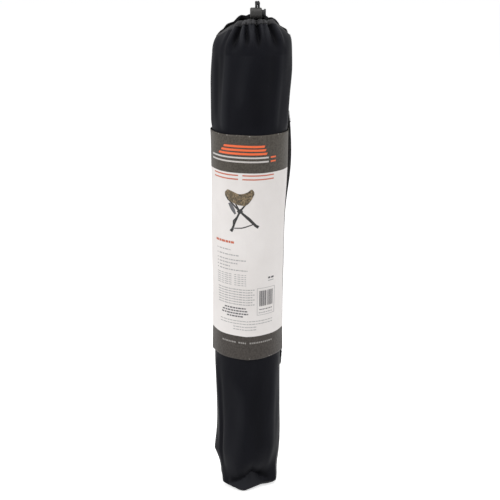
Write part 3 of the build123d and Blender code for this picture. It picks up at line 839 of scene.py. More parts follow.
bag_cloth = make_bag()
bag_cloth.data.materials.append(bag_black)
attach(bag_cloth, "carry_bag")
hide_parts("bag_shell", "bag_mouth")

bag_floor = make_base_panel()
bag_floor.data.materials.append(bag_black)
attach(bag_floor, "carry_bag")
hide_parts("bag_base")


BAND_SHARES = (0.80, 1.0)
BAND_DEEP = 2.4 * MM
BAND_TOP = 0.9 * MM
PUCKERS = 110
PUCKER_SIZE = 0.22
STEP_LENGTH = 0.55 * MM


def make_hem():
    """Cord channel: the last stretch of the neck turned over and sewn down, so it stands out round the cord.

    Its section goes down the outside from the edge, with a swell where the cord lies, and back up inside.
    """
    bearing = circle(600)
    down = np.linspace(0, 1, 9)
    b, d = crossed(bearing, down)
    low, high = BAND_SHARES
    skin = neck(b, high + (low - high) * d)
    around = np.roll(skin, -1, 0) - np.roll(skin, 1, 0)
    along = np.gradient(skin, axis=1)
    normal = np.cross(around, along)
    normal /= np.linalg.norm(normal, axis=-1)[..., None]
    angle = np.radians(b)
    normal *= np.sign((normal * outwards(angle, 1.0)).sum(-1))[..., None]
    pucker = 1 + PUCKER_SIZE * np.sin(angle * PUCKERS) * d
    calm = 1 - 0.65 * smoothstep(18, 34, np.abs(skin[..., 0] / MM - 9))
    swell = (0.35 + 1.45 * np.sin(math.pi * np.clip(d * 0.9 + 0.05, 0, 1)) ** 0.7) * pucker * calm
    outer = skin + normal * (swell * MM)[..., None]
    inner = skin - normal * BAND_DEEP * (0.15 + 0.85 * np.sin(math.pi * d))[..., None]
    top = skin[:, :1] + UP * BAND_TOP
    points = np.concatenate([top, outer, inner[:, ::-1]], 1)
    length = length_along(points)
    round_length = np.broadcast_to((np.arange(len(bearing)) * STEP_LENGTH)[:, None], length.shape)
    uv = np.stack([round_length, length], -1)
    return grid_piece("mouth_channel", points, close_u=True, close_v=True, uv=uv)


mouth_channel = turned_out(make_hem())
mouth_channel.data.materials.append(hem_black)
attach(mouth_channel, "carry_bag")
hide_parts("mouth_hem")

# ------------------------------------------------------------------ drawstring

CORD_RADIUS = 1.5 * MM
CHANNEL_CORD = 1.1 * MM
CHANNEL_DEEP = 0.7 * MM
TAIL_SPREAD = 5.0 * MM
TAIL_CLOSE = 3.3 * MM
TAIL_BACK = 3.0 * MM
TAIL_START = 3.0 * MM
TAIL_END = 4.5 * MM
KNOT_CORD = 1.25 * MM
KNOT_SIZE = 1.25 * MM
KNOT_RISE = 1.7 * MM
KNOT_BELOW = 3.3 * MM
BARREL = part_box("lock_barrel")
LOCK_Y = (BARREL[0][1] + BARREL[1][1]) / 2
CORD_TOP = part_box("drawstring")[1][2]


def braid(path, radius, strands=6, pitch=9 * MM):
    """Braided cord: half of the strands wind one way round the path and half the other."""
    steps = np.linalg.norm(np.diff(path, axis=0), axis=1)
    along = np.concatenate([[0], np.cumsum(steps)])
    side, up = path_sides(path, (0, 1, 0))
    grids = [tube_points(path, radius * 0.8, 12, reference=(0, 1, 0))]
    for k in range(strands):
        way = 1 if k % 2 else -1
        angle = way * 2 * math.pi * along / pitch + 2 * math.pi * k / strands
        lift = radius * (0.74 + 0.06 * np.sin(angle * strands / 2))
        route = path + (side * np.cos(angle)[:, None] + up * np.sin(angle)[:, None]) * lift[:, None]
        grids.append(tube_points(route, radius * 0.34, 7, reference=(0, 1, 0)))
    return grids


def cord_route(sign):
    """One tail, from the channel up through the lock to the knot."""
    t = np.linspace(0, 1, 60)
    x = MOUTH_X + sign * TAIL_SPREAD - sign * TAIL_CLOSE * smoothstep(0, 0.35, t)
    y = LOCK_Y + TAIL_BACK * (1 - smoothstep(0, 0.4, t))
    low = MOUTH_TOP - TAIL_START
    z = low + (CORD_TOP - TAIL_END - low) * t
    return np.stack([x, y, z], -1)


def knot_route():
    """Overhand knot: a small trefoil drawn tight on top of the lock."""
    t = np.linspace(0, 2 * math.pi, 160)
    x = KNOT_SIZE * (np.sin(t) + 1.6 * np.sin(2 * t)) * 0.75
    y = KNOT_SIZE * (np.cos(t) - 1.6 * np.cos(2 * t)) * 0.75
    z = KNOT_RISE * -np.sin(3 * t)
    return np.stack([MOUTH_X + x, LOCK_Y + y, CORD_TOP - KNOT_BELOW + z], -1)


def cord_in_channel():
    """The run of the cord round the mouth, inside its channel, drawn a little flatter than the tails."""
    bearing = circle(360)
    middle = neck(bearing, np.full_like(bearing, sum(BAND_SHARES) / 2))
    inside = middle - outwards(np.radians(bearing), 0.6) * CHANNEL_DEEP
    return tube_points(inside, CHANNEL_CORD, 10, closed=True)


cord_grids = braid(cord_route(1), CORD_RADIUS) + braid(cord_route(-1), CORD_RADIUS)
cord_grids.append(tube_points(knot_route(), KNOT_CORD, 12, reference=(0.3, 0.2, 1)))
drawcord = join_pieces("drawcord", [
    join_grids("cord_tails", cord_grids, close_v=True),
    grid_piece("cord_round_mouth", cord_in_channel(), close_u=True, close_v=True),
])
cord_black = cloth_material(
    "cord_black", (0.010, 0.010, 0.011), (0.03, 0.03, 0.032), threads=5200.0, sheen=0.2, depth=0.0002,
)
painted(drawcord, cord_black)
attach(drawcord, "carry_bag")
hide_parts("drawstring")

# ------------------------------------------------------------------ card sleeve

CARD = 0.5 * MM
TOP_TILT = 0.010
LOW_TILT = 0.012
TOP_BOW = 0.020
LOW_BOW = 0.115
LOW_RAISE = 2.0 * MM
CARD_SLACK = 1.25 * MM

# Creases in the card (degrees, mm): one down the front, flats beside it, and one at each side.
CREASE_BEARING = 268.5
CREASE_SIZE = 1.7
CREASE_HALF = 9.0
FLAT_BEARINGS = (240, 298)
SIDE_BEARINGS = (190, 350)


def sharp_fold(bearing, place):
    """1 on a crease in the card, dying away on both sides of it."""
    return np.exp(-np.abs(turn_between(bearing, place)) / CREASE_HALF)


def sleeve_radius(bearing, height):
    """Card pulled round the bag: its radius, a sharp crease down the front below and soft side creases."""
    share = (height - SLEEVE_LOW) / (SLEEVE_HIGH - SLEEVE_LOW)
    radius = plain_radius(height) + CARD_SLACK
    crease = CREASE_SIZE * sharp_fold(bearing, CREASE_BEARING) * (1 - smoothstep(0.0, 0.85, share))
    flats = -0.5 * (1 - smoothstep(0.0, 0.8, share)) * sum(
        bump(turn_between(bearing, place), 0, 18) for place in FLAT_BEARINGS
    )
    low_share = 1 - smoothstep(0.0, 0.35, share)
    sides = (0.8 + 1.5 * low_share) * sum(sharp_fold(bearing, place) for place in SIDE_BEARINGS)
    ripple = 0.18 * np.sin(height / MM / 33.0 + np.radians(bearing) * 3) + 0.10 * np.sin(
        height / MM / 11.0 - np.radians(bearing) * 7
    )
    curl = 0.7 * (np.exp(-share * 26) + np.exp(-(1 - share) * 26)) * (
        0.4 + 0.6 * np.sin(np.radians(bearing) * 2 + 0.7)
    )
    return radius + (crease + flats + sides + ripple + curl) * MM


def on_sleeve(bearing, share, lift=0.0):
    """Point on the sleeve: share runs from its lower edge to its upper edge, both cut on the tilt."""
    angle = np.radians(bearing)
    flat = SLEEVE_LOW + share * (SLEEVE_HIGH - SLEEVE_LOW)
    radius = sleeve_radius(bearing, flat) + lift
    x = lean(flat) + radius * np.cos(angle)
    y = radius * np.sin(angle)
    tilt = LOW_TILT + (TOP_TILT - LOW_TILT) * share
    bow = LOW_BOW + (TOP_BOW - LOW_BOW) * share
    wander = 0.25 * MM * np.sin(np.radians(bearing) * 6) * (1 - 4 * share * (1 - share))
    z = flat - tilt * x + bow * (y + 0.030) + LOW_RAISE * (1 - share) + wander
    return np.stack(np.broadcast_arrays(x, y, z), -1)


WHITE_LOW = 0.108
WHITE_HIGH = 0.838


def make_card_material():
    """Coated card with a dark band above and below, and pale chips along its worn edges."""
    material, tree, shader = new_material("printed_card")
    coordinates = tree.nodes.new("ShaderNodeTexCoord")
    split = node(tree, "ShaderNodeSeparateXYZ")
    tree.links.new(coordinates.outputs["UV"], split.inputs[0])
    up = split.outputs["Y"]
    low = calc(tree, "LESS_THAN", up, WHITE_LOW)
    high = calc(tree, "GREATER_THAN", up, WHITE_HIGH)
    vector = surface_vector(tree, False)
    wear = placed_group(tree, WEAR, vector, Grain=420.0)
    shade = ramped(tree, wear.outputs["Dust"], [(0.3, 0.0), (0.75, 1.0)])
    white = mixed(tree, "RGBA", shade, (0.68, 0.645, 0.625, 1), (0.78, 0.75, 0.735, 1))
    grain = ramped(tree, wear.outputs["Grain Height"], [(0.35, 0.0), (0.62, 1.0)])
    brown = mixed(tree, "RGBA", grain, (0.044, 0.038, 0.031, 1), (0.072, 0.063, 0.052, 1))
    umber = mixed(tree, "RGBA", grain, (0.034, 0.029, 0.025, 1), (0.056, 0.048, 0.042, 1))
    tone = mixed(tree, "RGBA", high, white, brown)
    tone = mixed(tree, "RGBA", low, tone, umber)
    scuffs = node(tree, "ShaderNodeTexNoise", Scale=240.0, Detail=5.0, Roughness=0.7)
    tree.links.new(vector, scuffs.inputs["Vector"])
    flecks = ramped(tree, scuffs.outputs["Fac"], [(0.60, 0.0), (0.68, 1.0)])
    outer = calc(tree, "GREATER_THAN", calc(tree, "ABSOLUTE", calc(tree, "SUBTRACT", up, 0.5)), 0.4935)
    chips = calc(tree, "MULTIPLY", flecks, outer)
    tone = mixed(tree, "RGBA", chips, tone, (0.45, 0.42, 0.40, 1))
    tree.links.new(tone, shader.inputs["Base Color"])
    tree.links.new(varied(tree, wear.outputs["Dust"], 0.25, 0.34), shader.inputs["Roughness"])
    bumped(tree, shader, wear.outputs["Grain Height"], 0.00004, 0.5)
    shader.inputs["Specular IOR Level"].default_value = 0.22
    return material


def make_sleeve():
    """The wrapped card, with its own thickness."""
    bearing = circle(300)
    share = np.linspace(0, 1, 130)
    b, s = crossed(bearing, share)
    uv = np.stack([b / 360, s], -1)
    piece = grid_piece("card_sleeve", on_sleeve(b, s), close_u=True, uv=uv)
    add_wall(piece, CARD, -1.0)
    return piece


card = make_card_material()
card_sleeve = make_sleeve()
card_sleeve.data.materials.append(card)
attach(card_sleeve, "carry_bag")
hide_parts("label_sleeve")

# Ink lies in layers over the card: the print, then the picture's strokes, then its seat.
INK_LIFT = 0.12 * MM
STROKE_LIFT = INK_LIFT * 1.15
PICTURE_SEAT_LIFT = INK_LIFT * 1.8
MEAN_RADIUS = 50.0


def ink_point(x, z, lift=INK_LIFT):
    """Point on the printed front: x across and z up, in millimetres, x measured as seen from the front."""
    height = z * MM
    share = (height - SLEEVE_LOW) / (SLEEVE_HIGH - SLEEVE_LOW)
    reach = np.clip((np.asarray(x) - lean(height) / MM) / MEAN_RADIUS, -0.98, 0.98)
    bearing = FRONT + np.degrees(np.arcsin(reach))
    return on_sleeve(bearing, share, lift)


def ink_block(left, right, low, high, slant=0.0, columns=None):
    """Grid over a printed rectangle; slant shifts its upper edge to the right."""
    columns = columns or max(2, int((right - left) / 1.6) + 1)
    rows = max(2, int((high - low) / 2.0) + 2)
    x, z = crossed(np.linspace(left, right, columns), np.linspace(low, high, rows))
    return ink_point(x + slant * (z - low) / max(high - low, 0.1), z)


def ink_piece(name, blocks, material):
    """All the blocks of one colour as one piece."""
    piece = join_grids(name, blocks)
    painted(piece, material)
    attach(piece, "carry_bag")
    return piece


def line_of_blocks(left, right, low, high, lengths, gap):
    """Row of printed dashes in the given pattern of lengths, repeated until the row is full."""
    blocks = []
    x, k = left, 0
    while x < right - 0.5:
        end = min(x + lengths[k % len(lengths)], right)
        blocks.append(ink_block(x, end, low, high))
        x = end + gap
        k += 1
    return blocks


# Rows of dashes, in millimetres on the card: left, right, low edge, height, dash lengths and gap, and then
# the number of rows, the step down from one to the next, and how much sooner every second row ends.
GREY_ROWS = (
    (-43.0, -24.0, 330.5, 1.0, (4.5, 3.0, 5.0), 1.0, 6, 3.0, 0.0),
    (-20.0, -3.5, 330.5, 1.0, (3.0, 4.2), 1.4, 6, 3.0, 0.0),
    (-42.0, 8.5, 309.0, 1.3, (3.8, 2.4, 5.1, 3.1, 1.8), 0.8, 7, 3.6, 2.0),
    (-40.0, 34.0, 263.2, 1.1, (3.5, 5.0, 2.6), 0.8, 2, 4.0, 0.0),
    (-22.0, 12.0, 254.8, 1.2, (3.2, 4.4, 2.0), 0.9, 2, 4.0, 0.0),
    (14.5, 34.0, 275.0, 1.2, (3.0, 2.0), 0.8, 1, 0.0, 0.0),
)
DARK_ROWS = (
    (-34.0, -4.0, 281.5, 2.0, (3.2, 2.4, 4.0), 0.8, 1, 0.0, 0.0),
    (-37.0, -1.5, 277.5, 2.0, (3.2, 2.4, 4.0), 0.8, 1, 0.0, 0.0),
    (-38.0, -0.5, 273.5, 2.0, (3.2, 2.4, 4.0), 0.8, 1, 0.0, 0.0),
    (-31.0, -8.0, 269.5, 2.0, (3.2, 2.4, 4.0), 0.8, 1, 0.0, 0.0),
    (15.5, 33.5, 279.5, 1.5, (2.0, 1.2), 0.7, 1, 0.0, 0.0),
)
DIM_ROWS = (
    (-38.0, -18.5, 230.8, 2.2, (2.0, 1.6, 2.3), 0.9, 1, 0.0, 0.0),
    (-14.5, -3.0, 230.8, 2.2, (2.2, 1.8), 0.9, 1, 0.0, 0.0),
    (1.5, 34.5, 230.8, 2.2, (2.0, 1.7, 2.2, 1.5), 0.9, 1, 0.0, 0.0),
)
RUST_ROWS = ((-44.0, -20.0, 375.2, 3.2, (3.6, 2.6, 4.4), 0.6, 1, 0.0, 0.0),)

# Lines of a list: the low edge of each and where it ends.
FEATURE_LINES = (
    (365.0, -24.5), (357.8, -12.5), (351.0, -3.5), (346.2, -15.5), (341.4, -25.0), (336.6, -1.5),
)
# Low edges of the long rules under the stripes.
PALE_RULES = (489.6, 495.2)
RUST_RULES = (465.6, 471.0)
# Plain blocks: left, right, low and high.
FRAME_SIDES = (
    (12.0, 12.6, 272.0, 311.5), (36.0, 36.6, 272.0, 311.5),
    (12.0, 36.6, 272.0, 272.6), (12.0, 36.6, 310.9, 311.5),
)
SMALL_DASHES = ((27.4, 30.6, 323.6, 326.2), (31.6, 35.0, 323.6, 326.2))
BAR_WIDTHS = (1.1, 0.5, 1.3, 0.6)
BAR_GAPS = (0.35, 0.5)
BAR_COUNT = 15
BAR_START = 15.5
BAR_LOW = 285.0
BAR_HIGH = 307.5


def dash_rows(table):
    """Every row of dashes in a table."""
    blocks = []
    for left, right, low, tall, lengths, gap, count, step, ragged in table:
        for k in range(count):
            base = low - step * k
            blocks += line_of_blocks(left, right - ragged * (k % 2), base, base + tall, lengths, gap)
    return blocks


def bar_stripes():
    """Upright stripes of mixed width in two groups."""
    blocks = []
    x = BAR_START
    for k in range(BAR_COUNT):
        width = BAR_WIDTHS[k % 4] * (1.0 if k < 8 else 0.7)
        blocks.append(ink_block(x, x + width, BAR_LOW, BAR_HIGH, columns=2))
        x += width + BAR_GAPS[k % 2] + (1.0 if k == 7 else 0.0)
    return blocks


def printed_front():
    """Generic print: plain stripes and rules, rows of dashes in place of words, a framed block of bars."""
    orange, pale = [], []
    rust, grey, dark = dash_rows(RUST_ROWS), dash_rows(GREY_ROWS), dash_rows(DARK_ROWS)
    for k in range(3):
        low = 500.2 + 5.0 * k
        orange.append(ink_block(-38.0 + 3.0 * k, 23.5 - 1.5 * k, low, low + 3.0, 1.0))
    for low in PALE_RULES:
        pale.append(ink_block(-45.5, 26.0, low, low + 2.2))
        orange.append(ink_block(28.6, 35.0, low, low + 2.2))
    for low in RUST_RULES:
        rust.append(ink_block(-44.0, -13.5, low, low + 1.7))
        rust.append(ink_block(-8.0, 33.0, low, low + 1.7))
    for low, right in FEATURE_LINES:
        grey += line_of_blocks(-40.0, right, low, low + 1.5, (3.4, 2.2, 4.1, 1.6), 0.9)
        dark.append(ink_block(-42.6, -41.6, low + 0.2, low + 1.2))
    grey.append(ink_block(27.4, 35.0, 320.2, 321.4))
    grey += [ink_block(*side) for side in FRAME_SIDES]
    dark += [ink_block(*dash) for dash in SMALL_DASHES] + bar_stripes()
    return {
        "orange": orange, "pale": pale, "dim": dash_rows(DIM_ROWS), "grey": grey, "dark": dark, "rust": rust,
    }


INKS = {
    "orange": (0.78, 0.125, 0.030), "pale": (0.52, 0.49, 0.47), "dim": (0.26, 0.245, 0.23),
    "grey": (0.36, 0.35, 0.35), "dark": (0.10, 0.095, 0.10), "rust": (0.50, 0.115, 0.055),
}
for ink, blocks in printed_front().items():
    ink_piece(f"print_{ink}", blocks, printed_material(f"ink_{ink}", INKS[ink]))


# ------------------------------------------------------------------ picture of the open stool on the card


def ink_stroke(points, widths):
    """Printed stroke: a band of changing width along a polyline, in millimetres."""
    points = np.asarray(points, float)
    t = np.linspace(0, 1, max(6, 4 * len(points)))
    knots = np.linspace(0, 1, len(points))
    middle = np.stack([np.interp(t, knots, points[:, k]) for k in (0, 1)], -1)
    width = np.interp(t, np.linspace(0, 1, len(widths)), widths)
    along = np.gradient(middle, axis=0)
    across = np.stack([-along[:, 1], along[:, 0]], -1)
    across /= np.linalg.norm(across, axis=1)[:, None]
    side = np.linspace(-0.5, 0.5, 3)
    flat = middle[:, None] + across[:, None] * (width[:, None] * side[None])[..., None]
    return ink_point(flat[..., 0], flat[..., 1], STROKE_LIFT)


# The picture's seat: its ends, and its upper and lower edges as shares across and heights.
SEAT_LEFT = -31.0
SEAT_RIGHT = 7.6
TOP_SHARES = (0, 0.08, 0.2, 0.5, 0.78, 0.93, 1.0)
TOP_HEIGHTS = (446.5, 450.6, 449.8, 446.0, 449.2, 453.0, 449.0)
LOW_SHARES = (0, 0.14, 0.35, 0.55, 0.75, 0.92, 1.0)
LOW_HEIGHTS = (443.0, 436.4, 431.8, 430.2, 431.4, 439.5, 446.0)


def picture_seat():
    """Saddle-shaped seat: an upper edge that dips between its raised corners and a lower edge that bulges."""
    share = np.linspace(0, 1, 30)
    x = SEAT_LEFT + (SEAT_RIGHT - SEAT_LEFT) * share
    top = smooth_through(TOP_SHARES, TOP_HEIGHTS, share)
    low = smooth_through(LOW_SHARES, LOW_HEIGHTS, share)
    down = np.linspace(0, 1, 9)
    z = top[:, None] + (low - top)[:, None] * down[None]
    return ink_point(x[:, None] + 0 * down[None], z, PICTURE_SEAT_LIFT)


legs_print = [
    ink_stroke([(-26.5, 437.0), (-11.4, 421.8), (0.5, 411.5), (10.8, 400.8)], (2.0, 2.6, 4.2, 3.4)),
    ink_stroke([(-3.6, 432.0), (-11.4, 421.8), (-18.1, 406.5), (-22.4, 394.6)], (2.0, 2.6, 2.5, 3.0)),
    ink_stroke([(-17.0, 432.0), (-11.0, 421.0), (-15.5, 413.5), (-20.2, 408.0), (-20.2, 400.0)],
               (1.8, 2.2, 1.8, 2.2)),
    ink_stroke([(-19.5, 397.4), (-8.4, 398.6), (6.9, 404.2)], (1.3, 1.6, 1.3)),
    ink_stroke([(-14.2, 419.8), (-8.6, 423.6)], (5.4, 5.4)),
    ink_stroke([(8.6, 402.6), (13.4, 399.4)], (3.6, 4.2)),
    ink_stroke([(-21.4, 396.6), (-24.0, 392.4)], (3.4, 4.2)),
    ink_stroke([(-30.0, 443.0), (-26.5, 436.0)], (2.6, 2.0)),
]
pouch_print = [
    ink_stroke([(-25.2, 432.6), (-21.0, 424.5), (-17.6, 417.6)], (4.2, 5.4, 2.6)),
]
ink_piece("print_picture_legs", legs_print, printed_material("ink_black", (0.008, 0.0075, 0.007)))
ink_piece("print_picture_pouch", pouch_print, printed_material("ink_pouch", (0.10, 0.098, 0.105)))


# Each blotch colour's cut through the noise, and the fineness of its noise.
BLOTCHES = ((0.50, 1.0), (0.56, 1.7), (0.60, 2.4))


def blotch_material(name, tones, scale, from_uv=False, weave_threads=2400.0, depth=0.00015):
    """Cloth in soft-edged earth-tone blotches: layered noise cut at different levels, over a weave."""
    material, tree, shader = new_material(name)
    vector = surface_vector(tree, from_uv)
    tone = (*tones[0], 1)
    for k, (color, (level, size)) in enumerate(zip(tones[1:], BLOTCHES)):
        noise = node(tree, "ShaderNodeTexNoise", Scale=scale * size, Detail=3.0, Roughness=0.6,
                     Distortion=0.9)
        shift = node(tree, "ShaderNodeMapping", Location=(3.7 * k, 1.9 * k, 5.3 * k))
        tree.links.new(vector, shift.inputs["Vector"])
        tree.links.new(shift.outputs["Vector"], noise.inputs["Vector"])
        patch = ramped(tree, noise.outputs["Fac"], [(level, 0.0), (level + 0.03, 1.0)])
        tone = mixed(tree, "RGBA", patch, tone, (*color, 1))
    weave = placed_group(tree, WEAVE, vector, Threads=weave_threads)
    dim = calc(tree, "MULTIPLY", weave.outputs["Height"], 0.3)
    final = mixed(tree, "RGBA", dim, tone, (0.02, 0.018, 0.014, 1))
    tree.links.new(final, shader.inputs["Base Color"])
    tree.links.new(varied(tree, weave.outputs["Fuzz"], 0.2, 0.65), shader.inputs["Roughness"])
    bumped(tree, shader, weave.outputs["Height"], depth, 0.6)
    shader.inputs["Sheen Weight"].default_value = 0.2
    return material


EARTH = ((0.235, 0.170, 0.095), (0.105, 0.078, 0.042), (0.045, 0.030, 0.018), (0.36, 0.29, 0.19))
picture_cloth = blotch_material("ink_blotches", EARTH, 150.0, depth=0.00001)
ink_piece("print_picture_seat", [picture_seat()], picture_cloth)

# ------------------------------------------------------------------ carry strap on the bag

# Webbing handle: the bearing it is sewn on at, its half width, the curve across it, its stitched ends, and
# how far it stands off the bag at each height, in millimetres.
HANDLE_BEARING = 24.0
HANDLE_HALF = 12.5
HANDLE_CURVE = 0.9
HANDLE_ENDS = ((183.0, 199.0), (534.0, 550.0))
WEBBING = 1.3 * MM
HANDLE_Z = (181, 204, 300, 340, 400, 417, 482, 530, 553)
HANDLE_OFF = (1.0, 2.6, 2.6, 2.6, 2.7, 3.4, 7.8, 5.4, 1.0)


def make_handle():
    """Webbing sewn to the bag above and below the sleeve: ribbed, curved across and bowed lengthwise."""
    z = np.linspace(HANDLE_Z[0], HANDLE_Z[-1], 300)
    middle = plain_radius(z * MM) + smooth_through(HANDLE_Z, HANDLE_OFF, z) * MM
    across = np.linspace(-1, 1, 29)
    out, side = out_and_side(math.radians(HANDLE_BEARING))
    rib = 0.10 * MM * np.cos(across * math.pi * 14)
    curve = HANDLE_CURVE * MM * across ** 2
    r = middle[:, None] + rib[None] - curve[None]
    points = (
        out * r[..., None]
        + side * (HANDLE_HALF * MM * across)[None, :, None]
        + UP * (z * MM)[:, None, None]
    )
    points[..., 0] += lean(z * MM)[:, None]
    uv = np.stack(np.broadcast_arrays((across * HANDLE_HALF * MM)[None], (z * MM)[:, None]), -1)
    piece = grid_piece("carry_webbing", points, uv=uv)
    add_wall(piece, WEBBING, 1.0)
    return piece


def stitch_row(start, end, count, thread=0.35 * MM, out=(1, 0, 0)):
    """Row of short raised stitches between two points, as little capsules lying on the cloth."""
    start, end, out = (np.asarray(v, float) for v in (start, end, out))
    grids = []
    step = (end - start) / count
    for k in range(count):
        t = np.linspace(0.12, 0.78, 6)
        arch = np.sin(np.linspace(0, math.pi, 6)) * thread * 0.9
        path = start + step * (k + t)[:, None] + out * arch[:, None]
        radius = thread * np.sqrt(np.clip(1 - (2 * (t - 0.45) / 0.70) ** 2, 0.05, 1))
        grids.append(tube_points(path, radius, 6, reference=out))
    return grids


def handle_stitches():
    """Boxed cross of stitches at each sewn end."""
    out, side = out_and_side(math.radians(HANDLE_BEARING))
    grids = []
    for low, high in HANDLE_ENDS:
        z = np.array([low, low, high, high])
        s = np.array([-10.0, 10.0, 10.0, -10.0])
        off = smooth_through(HANDLE_Z, HANDLE_OFF, z) + 1.35 - HANDLE_CURVE * (s / HANDLE_HALF) ** 2
        r = plain_radius(z * MM) + off * MM
        a, b, c, d = out * r[:, None] + side * (s * MM)[:, None] + np.stack([lean(z * MM), 0 * z, z * MM], -1)
        for start, end in ((a, b), (b, c), (c, d), (d, a), (a, c), (b, d)):
            grids += stitch_row(start, end, 8, out=out)
    return grids


carry_webbing = make_handle()
carry_webbing.data.materials.append(web_black)
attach(carry_webbing, "carry_bag")
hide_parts("carry_strap")

thread_grey = cloth_material("thread_grey", (0.05, 0.05, 0.052), (0.09, 0.09, 0.09), threads=6000.0)
strap_stitching = join_grids("strap_stitching", handle_stitches(), close_v=True)
painted(strap_stitching, thread_grey)
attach(strap_stitching, "carry_bag")

# ------------------------------------------------------------------ hard pieces of the stool and the lock

# Finish of each kind of node: how its name starts, the material, its colours when new and worn, the rest.
NODE_FINISHES = (
    ("leg_tube", "tube_black", (0.010, 0.010, 0.011), (0.045, 0.045, 0.045),
     {"roughness": 0.42, "grain": 2600.0, "depth": 0.00003, "amount": 0.25, "specular": 0.4}),
    ("leg_foot", "rubber_black", (0.014, 0.014, 0.0145), (0.05, 0.048, 0.045),
     {"roughness": 0.85, "grain": 1800.0, "depth": 0.00010}),
    ("leg_plug", "plug_black", (0.016, 0.016, 0.017), (0.06, 0.06, 0.06), {"roughness": 0.55}),
    ("pivot_hub", "hub_black", (0.018, 0.018, 0.0195), (0.08, 0.08, 0.08),
     {"roughness": 0.6, "grain": 1500.0, "depth": 0.00008}),
    (("pivot_pins", "pocket_rivet"), "pin_dark", (0.10, 0.10, 0.105), (0.42, 0.42, 0.43),
     {"roughness": 0.38, "grain": 3000.0, "depth": 0.00002, "metallic": 1.0}),
    ("pivot_spacers", "washer_pale", (0.55, 0.54, 0.51), (0.35, 0.34, 0.32), {"roughness": 0.5}),
    ("lock_spring", "wire_bright", (0.55, 0.55, 0.57), (0.3, 0.3, 0.3),
     {"roughness": 0.28, "grain": 3000.0, "depth": 0.00001, "metallic": 1.0}),
    ("lock_barrel", "lock_grey", (0.026, 0.025, 0.024), (0.11, 0.105, 0.10),
     {"roughness": 0.5, "grain": 1200.0, "depth": 0.00012, "specular": 0.3, "amount": 0.8}),
    ("lock_button", "button_black", (0.010, 0.010, 0.011), (0.04, 0.04, 0.04),
     {"roughness": 0.5, "specular": 0.3}),
)
for start, finish, color, worn, settings in NODE_FINISHES:
    material = moulded_material(finish, color, worn, **settings)
    for name, part in frame["nodes"].items():
        if name.startswith(start):
            painted(part, material)

# ------------------------------------------------------------------ stool cloth: places from the joints

JOINTS = {joint["name"]: joint for joint in frame["record"]["behaviour"]["joints"]}
LEG_ANGLES = []
for number in (1, 2, 3):
    leg_axis = JOINTS[f"leg_{number}_pivot"]["axis"]
    LEG_ANGLES.append(math.atan2(leg_axis[1], leg_axis[0]))
PIVOT = np.array(JOINTS["leg_1_pivot"]["pos_m"], float)
LEG_OFFSET = math.hypot(PIVOT[0], PIVOT[1])
SPREAD = math.radians(JOINTS["leg_1_pivot"]["range_deg"][1])
LEG_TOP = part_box("leg_plug_1")[1][2]
TUBE_RADIUS = (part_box("leg_tube_1")[1][0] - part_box("leg_tube_1")[0][0]) / 2


def joint_travel(name):
    """How far a sliding joint carries its body, as a vector."""
    return np.array(JOINTS[name]["axis"], float) * JOINTS[name]["range_m"][1]


# ------------------------------------------------------------------ seat

SEAT_AXIS = JOINTS["seat_unfold"]["pos_m"]
SEAT_SHIFT = {side: joint_travel(f"seat_{side}_stretch") for side in SIDES}
SEAT_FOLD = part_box("seat_right_hem")[1][0]
CORNER_REACH = LEG_TOP - PIVOT[2]
SEAT_CORNERS = ((0.0, -1.0), (math.cos(math.radians(30)), math.sin(math.radians(30))))
CORNER_START = 150.0 * MM
CORNER_ROOM = 25.0 * MM
SEAT_BACK = 97.0 * MM
SEAT_FRONT = -189.0 * MM
SEAT_WIDE = 168.0 * MM
SEAT_TIP = 10.0 * MM
SIDE_HOLLOW = 13.0 * MM
BACK_HOLLOW = 15.0 * MM
SEAT_DISH = 16.5 * MM
SEAT_DROP = 7.0 * MM
SEAT_THICK = 1.2 * MM


def folded_seat(target, side):
    """Turns open seat points back into their folded places.

    The open seat lies a quarter turn about the seat's axis, and each half is stretched sideways by a share
    that rises smoothly from the middle to the folded edge. The share is found from the sideways place by
    reading its rising curve backwards.
    """
    _, y0, z0 = SEAT_AXIS
    turned = np.stack([target[..., 0], y0 + (target[..., 2] - z0), z0 - (target[..., 1] - y0)], -1)
    sign = SIDES[side]
    inner = np.linspace(0, SEAT_FOLD, 400)
    weight = (inner / SEAT_FOLD) ** 2 * (3 - 2 * inner / SEAT_FOLD)
    reach = inner + weight * abs(SEAT_SHIFT[side][0])
    place = np.interp(sign * turned[..., 0], reach, inner)
    share = np.interp(place, inner, weight)
    turned[..., 0] = sign * place
    turned[..., 1] -= share * SEAT_SHIFT[side][1]
    return turned


def open_seat(u, v):
    """Half of the open seat: u from the middle line out to the edge, v from the back to the front corner.

    The plan is a triangle with hollow sides, as cloth stretched from three corners has; the cloth dips
    towards its middle and rises to the corners. Past CORNER_START from the middle, each corner is drawn in
    by a distance that dies away, so that it ends at the pocket on the leg.
    """
    half = SEAT_WIDE * (1 - v) + SEAT_TIP * v
    x = u * (half - SIDE_HOLLOW * np.sin(math.pi * np.clip(v, 0, 1)))
    y = SEAT_BACK + (SEAT_FRONT - SEAT_BACK) * v - BACK_HOLLOW * (1 - u ** 2) * (1 - v) ** 2
    for corner_x, corner_y in SEAT_CORNERS:
        along = x * corner_x + y * corner_y
        beyond = np.clip(along - CORNER_START, 0, None)
        pull = CORNER_ROOM * (1 - np.exp(-beyond / CORNER_ROOM)) - beyond
        x, y = x + corner_x * pull, y + corner_y * pull
    top = PIVOT[2] + CORNER_REACH * math.cos(SPREAD)
    centre = np.hypot(x, y) / (CORNER_START + CORNER_ROOM)
    dish = SEAT_DISH * (1 - np.clip(centre, 0, 1) ** 2)
    return x, y, top - SEAT_DROP - dish


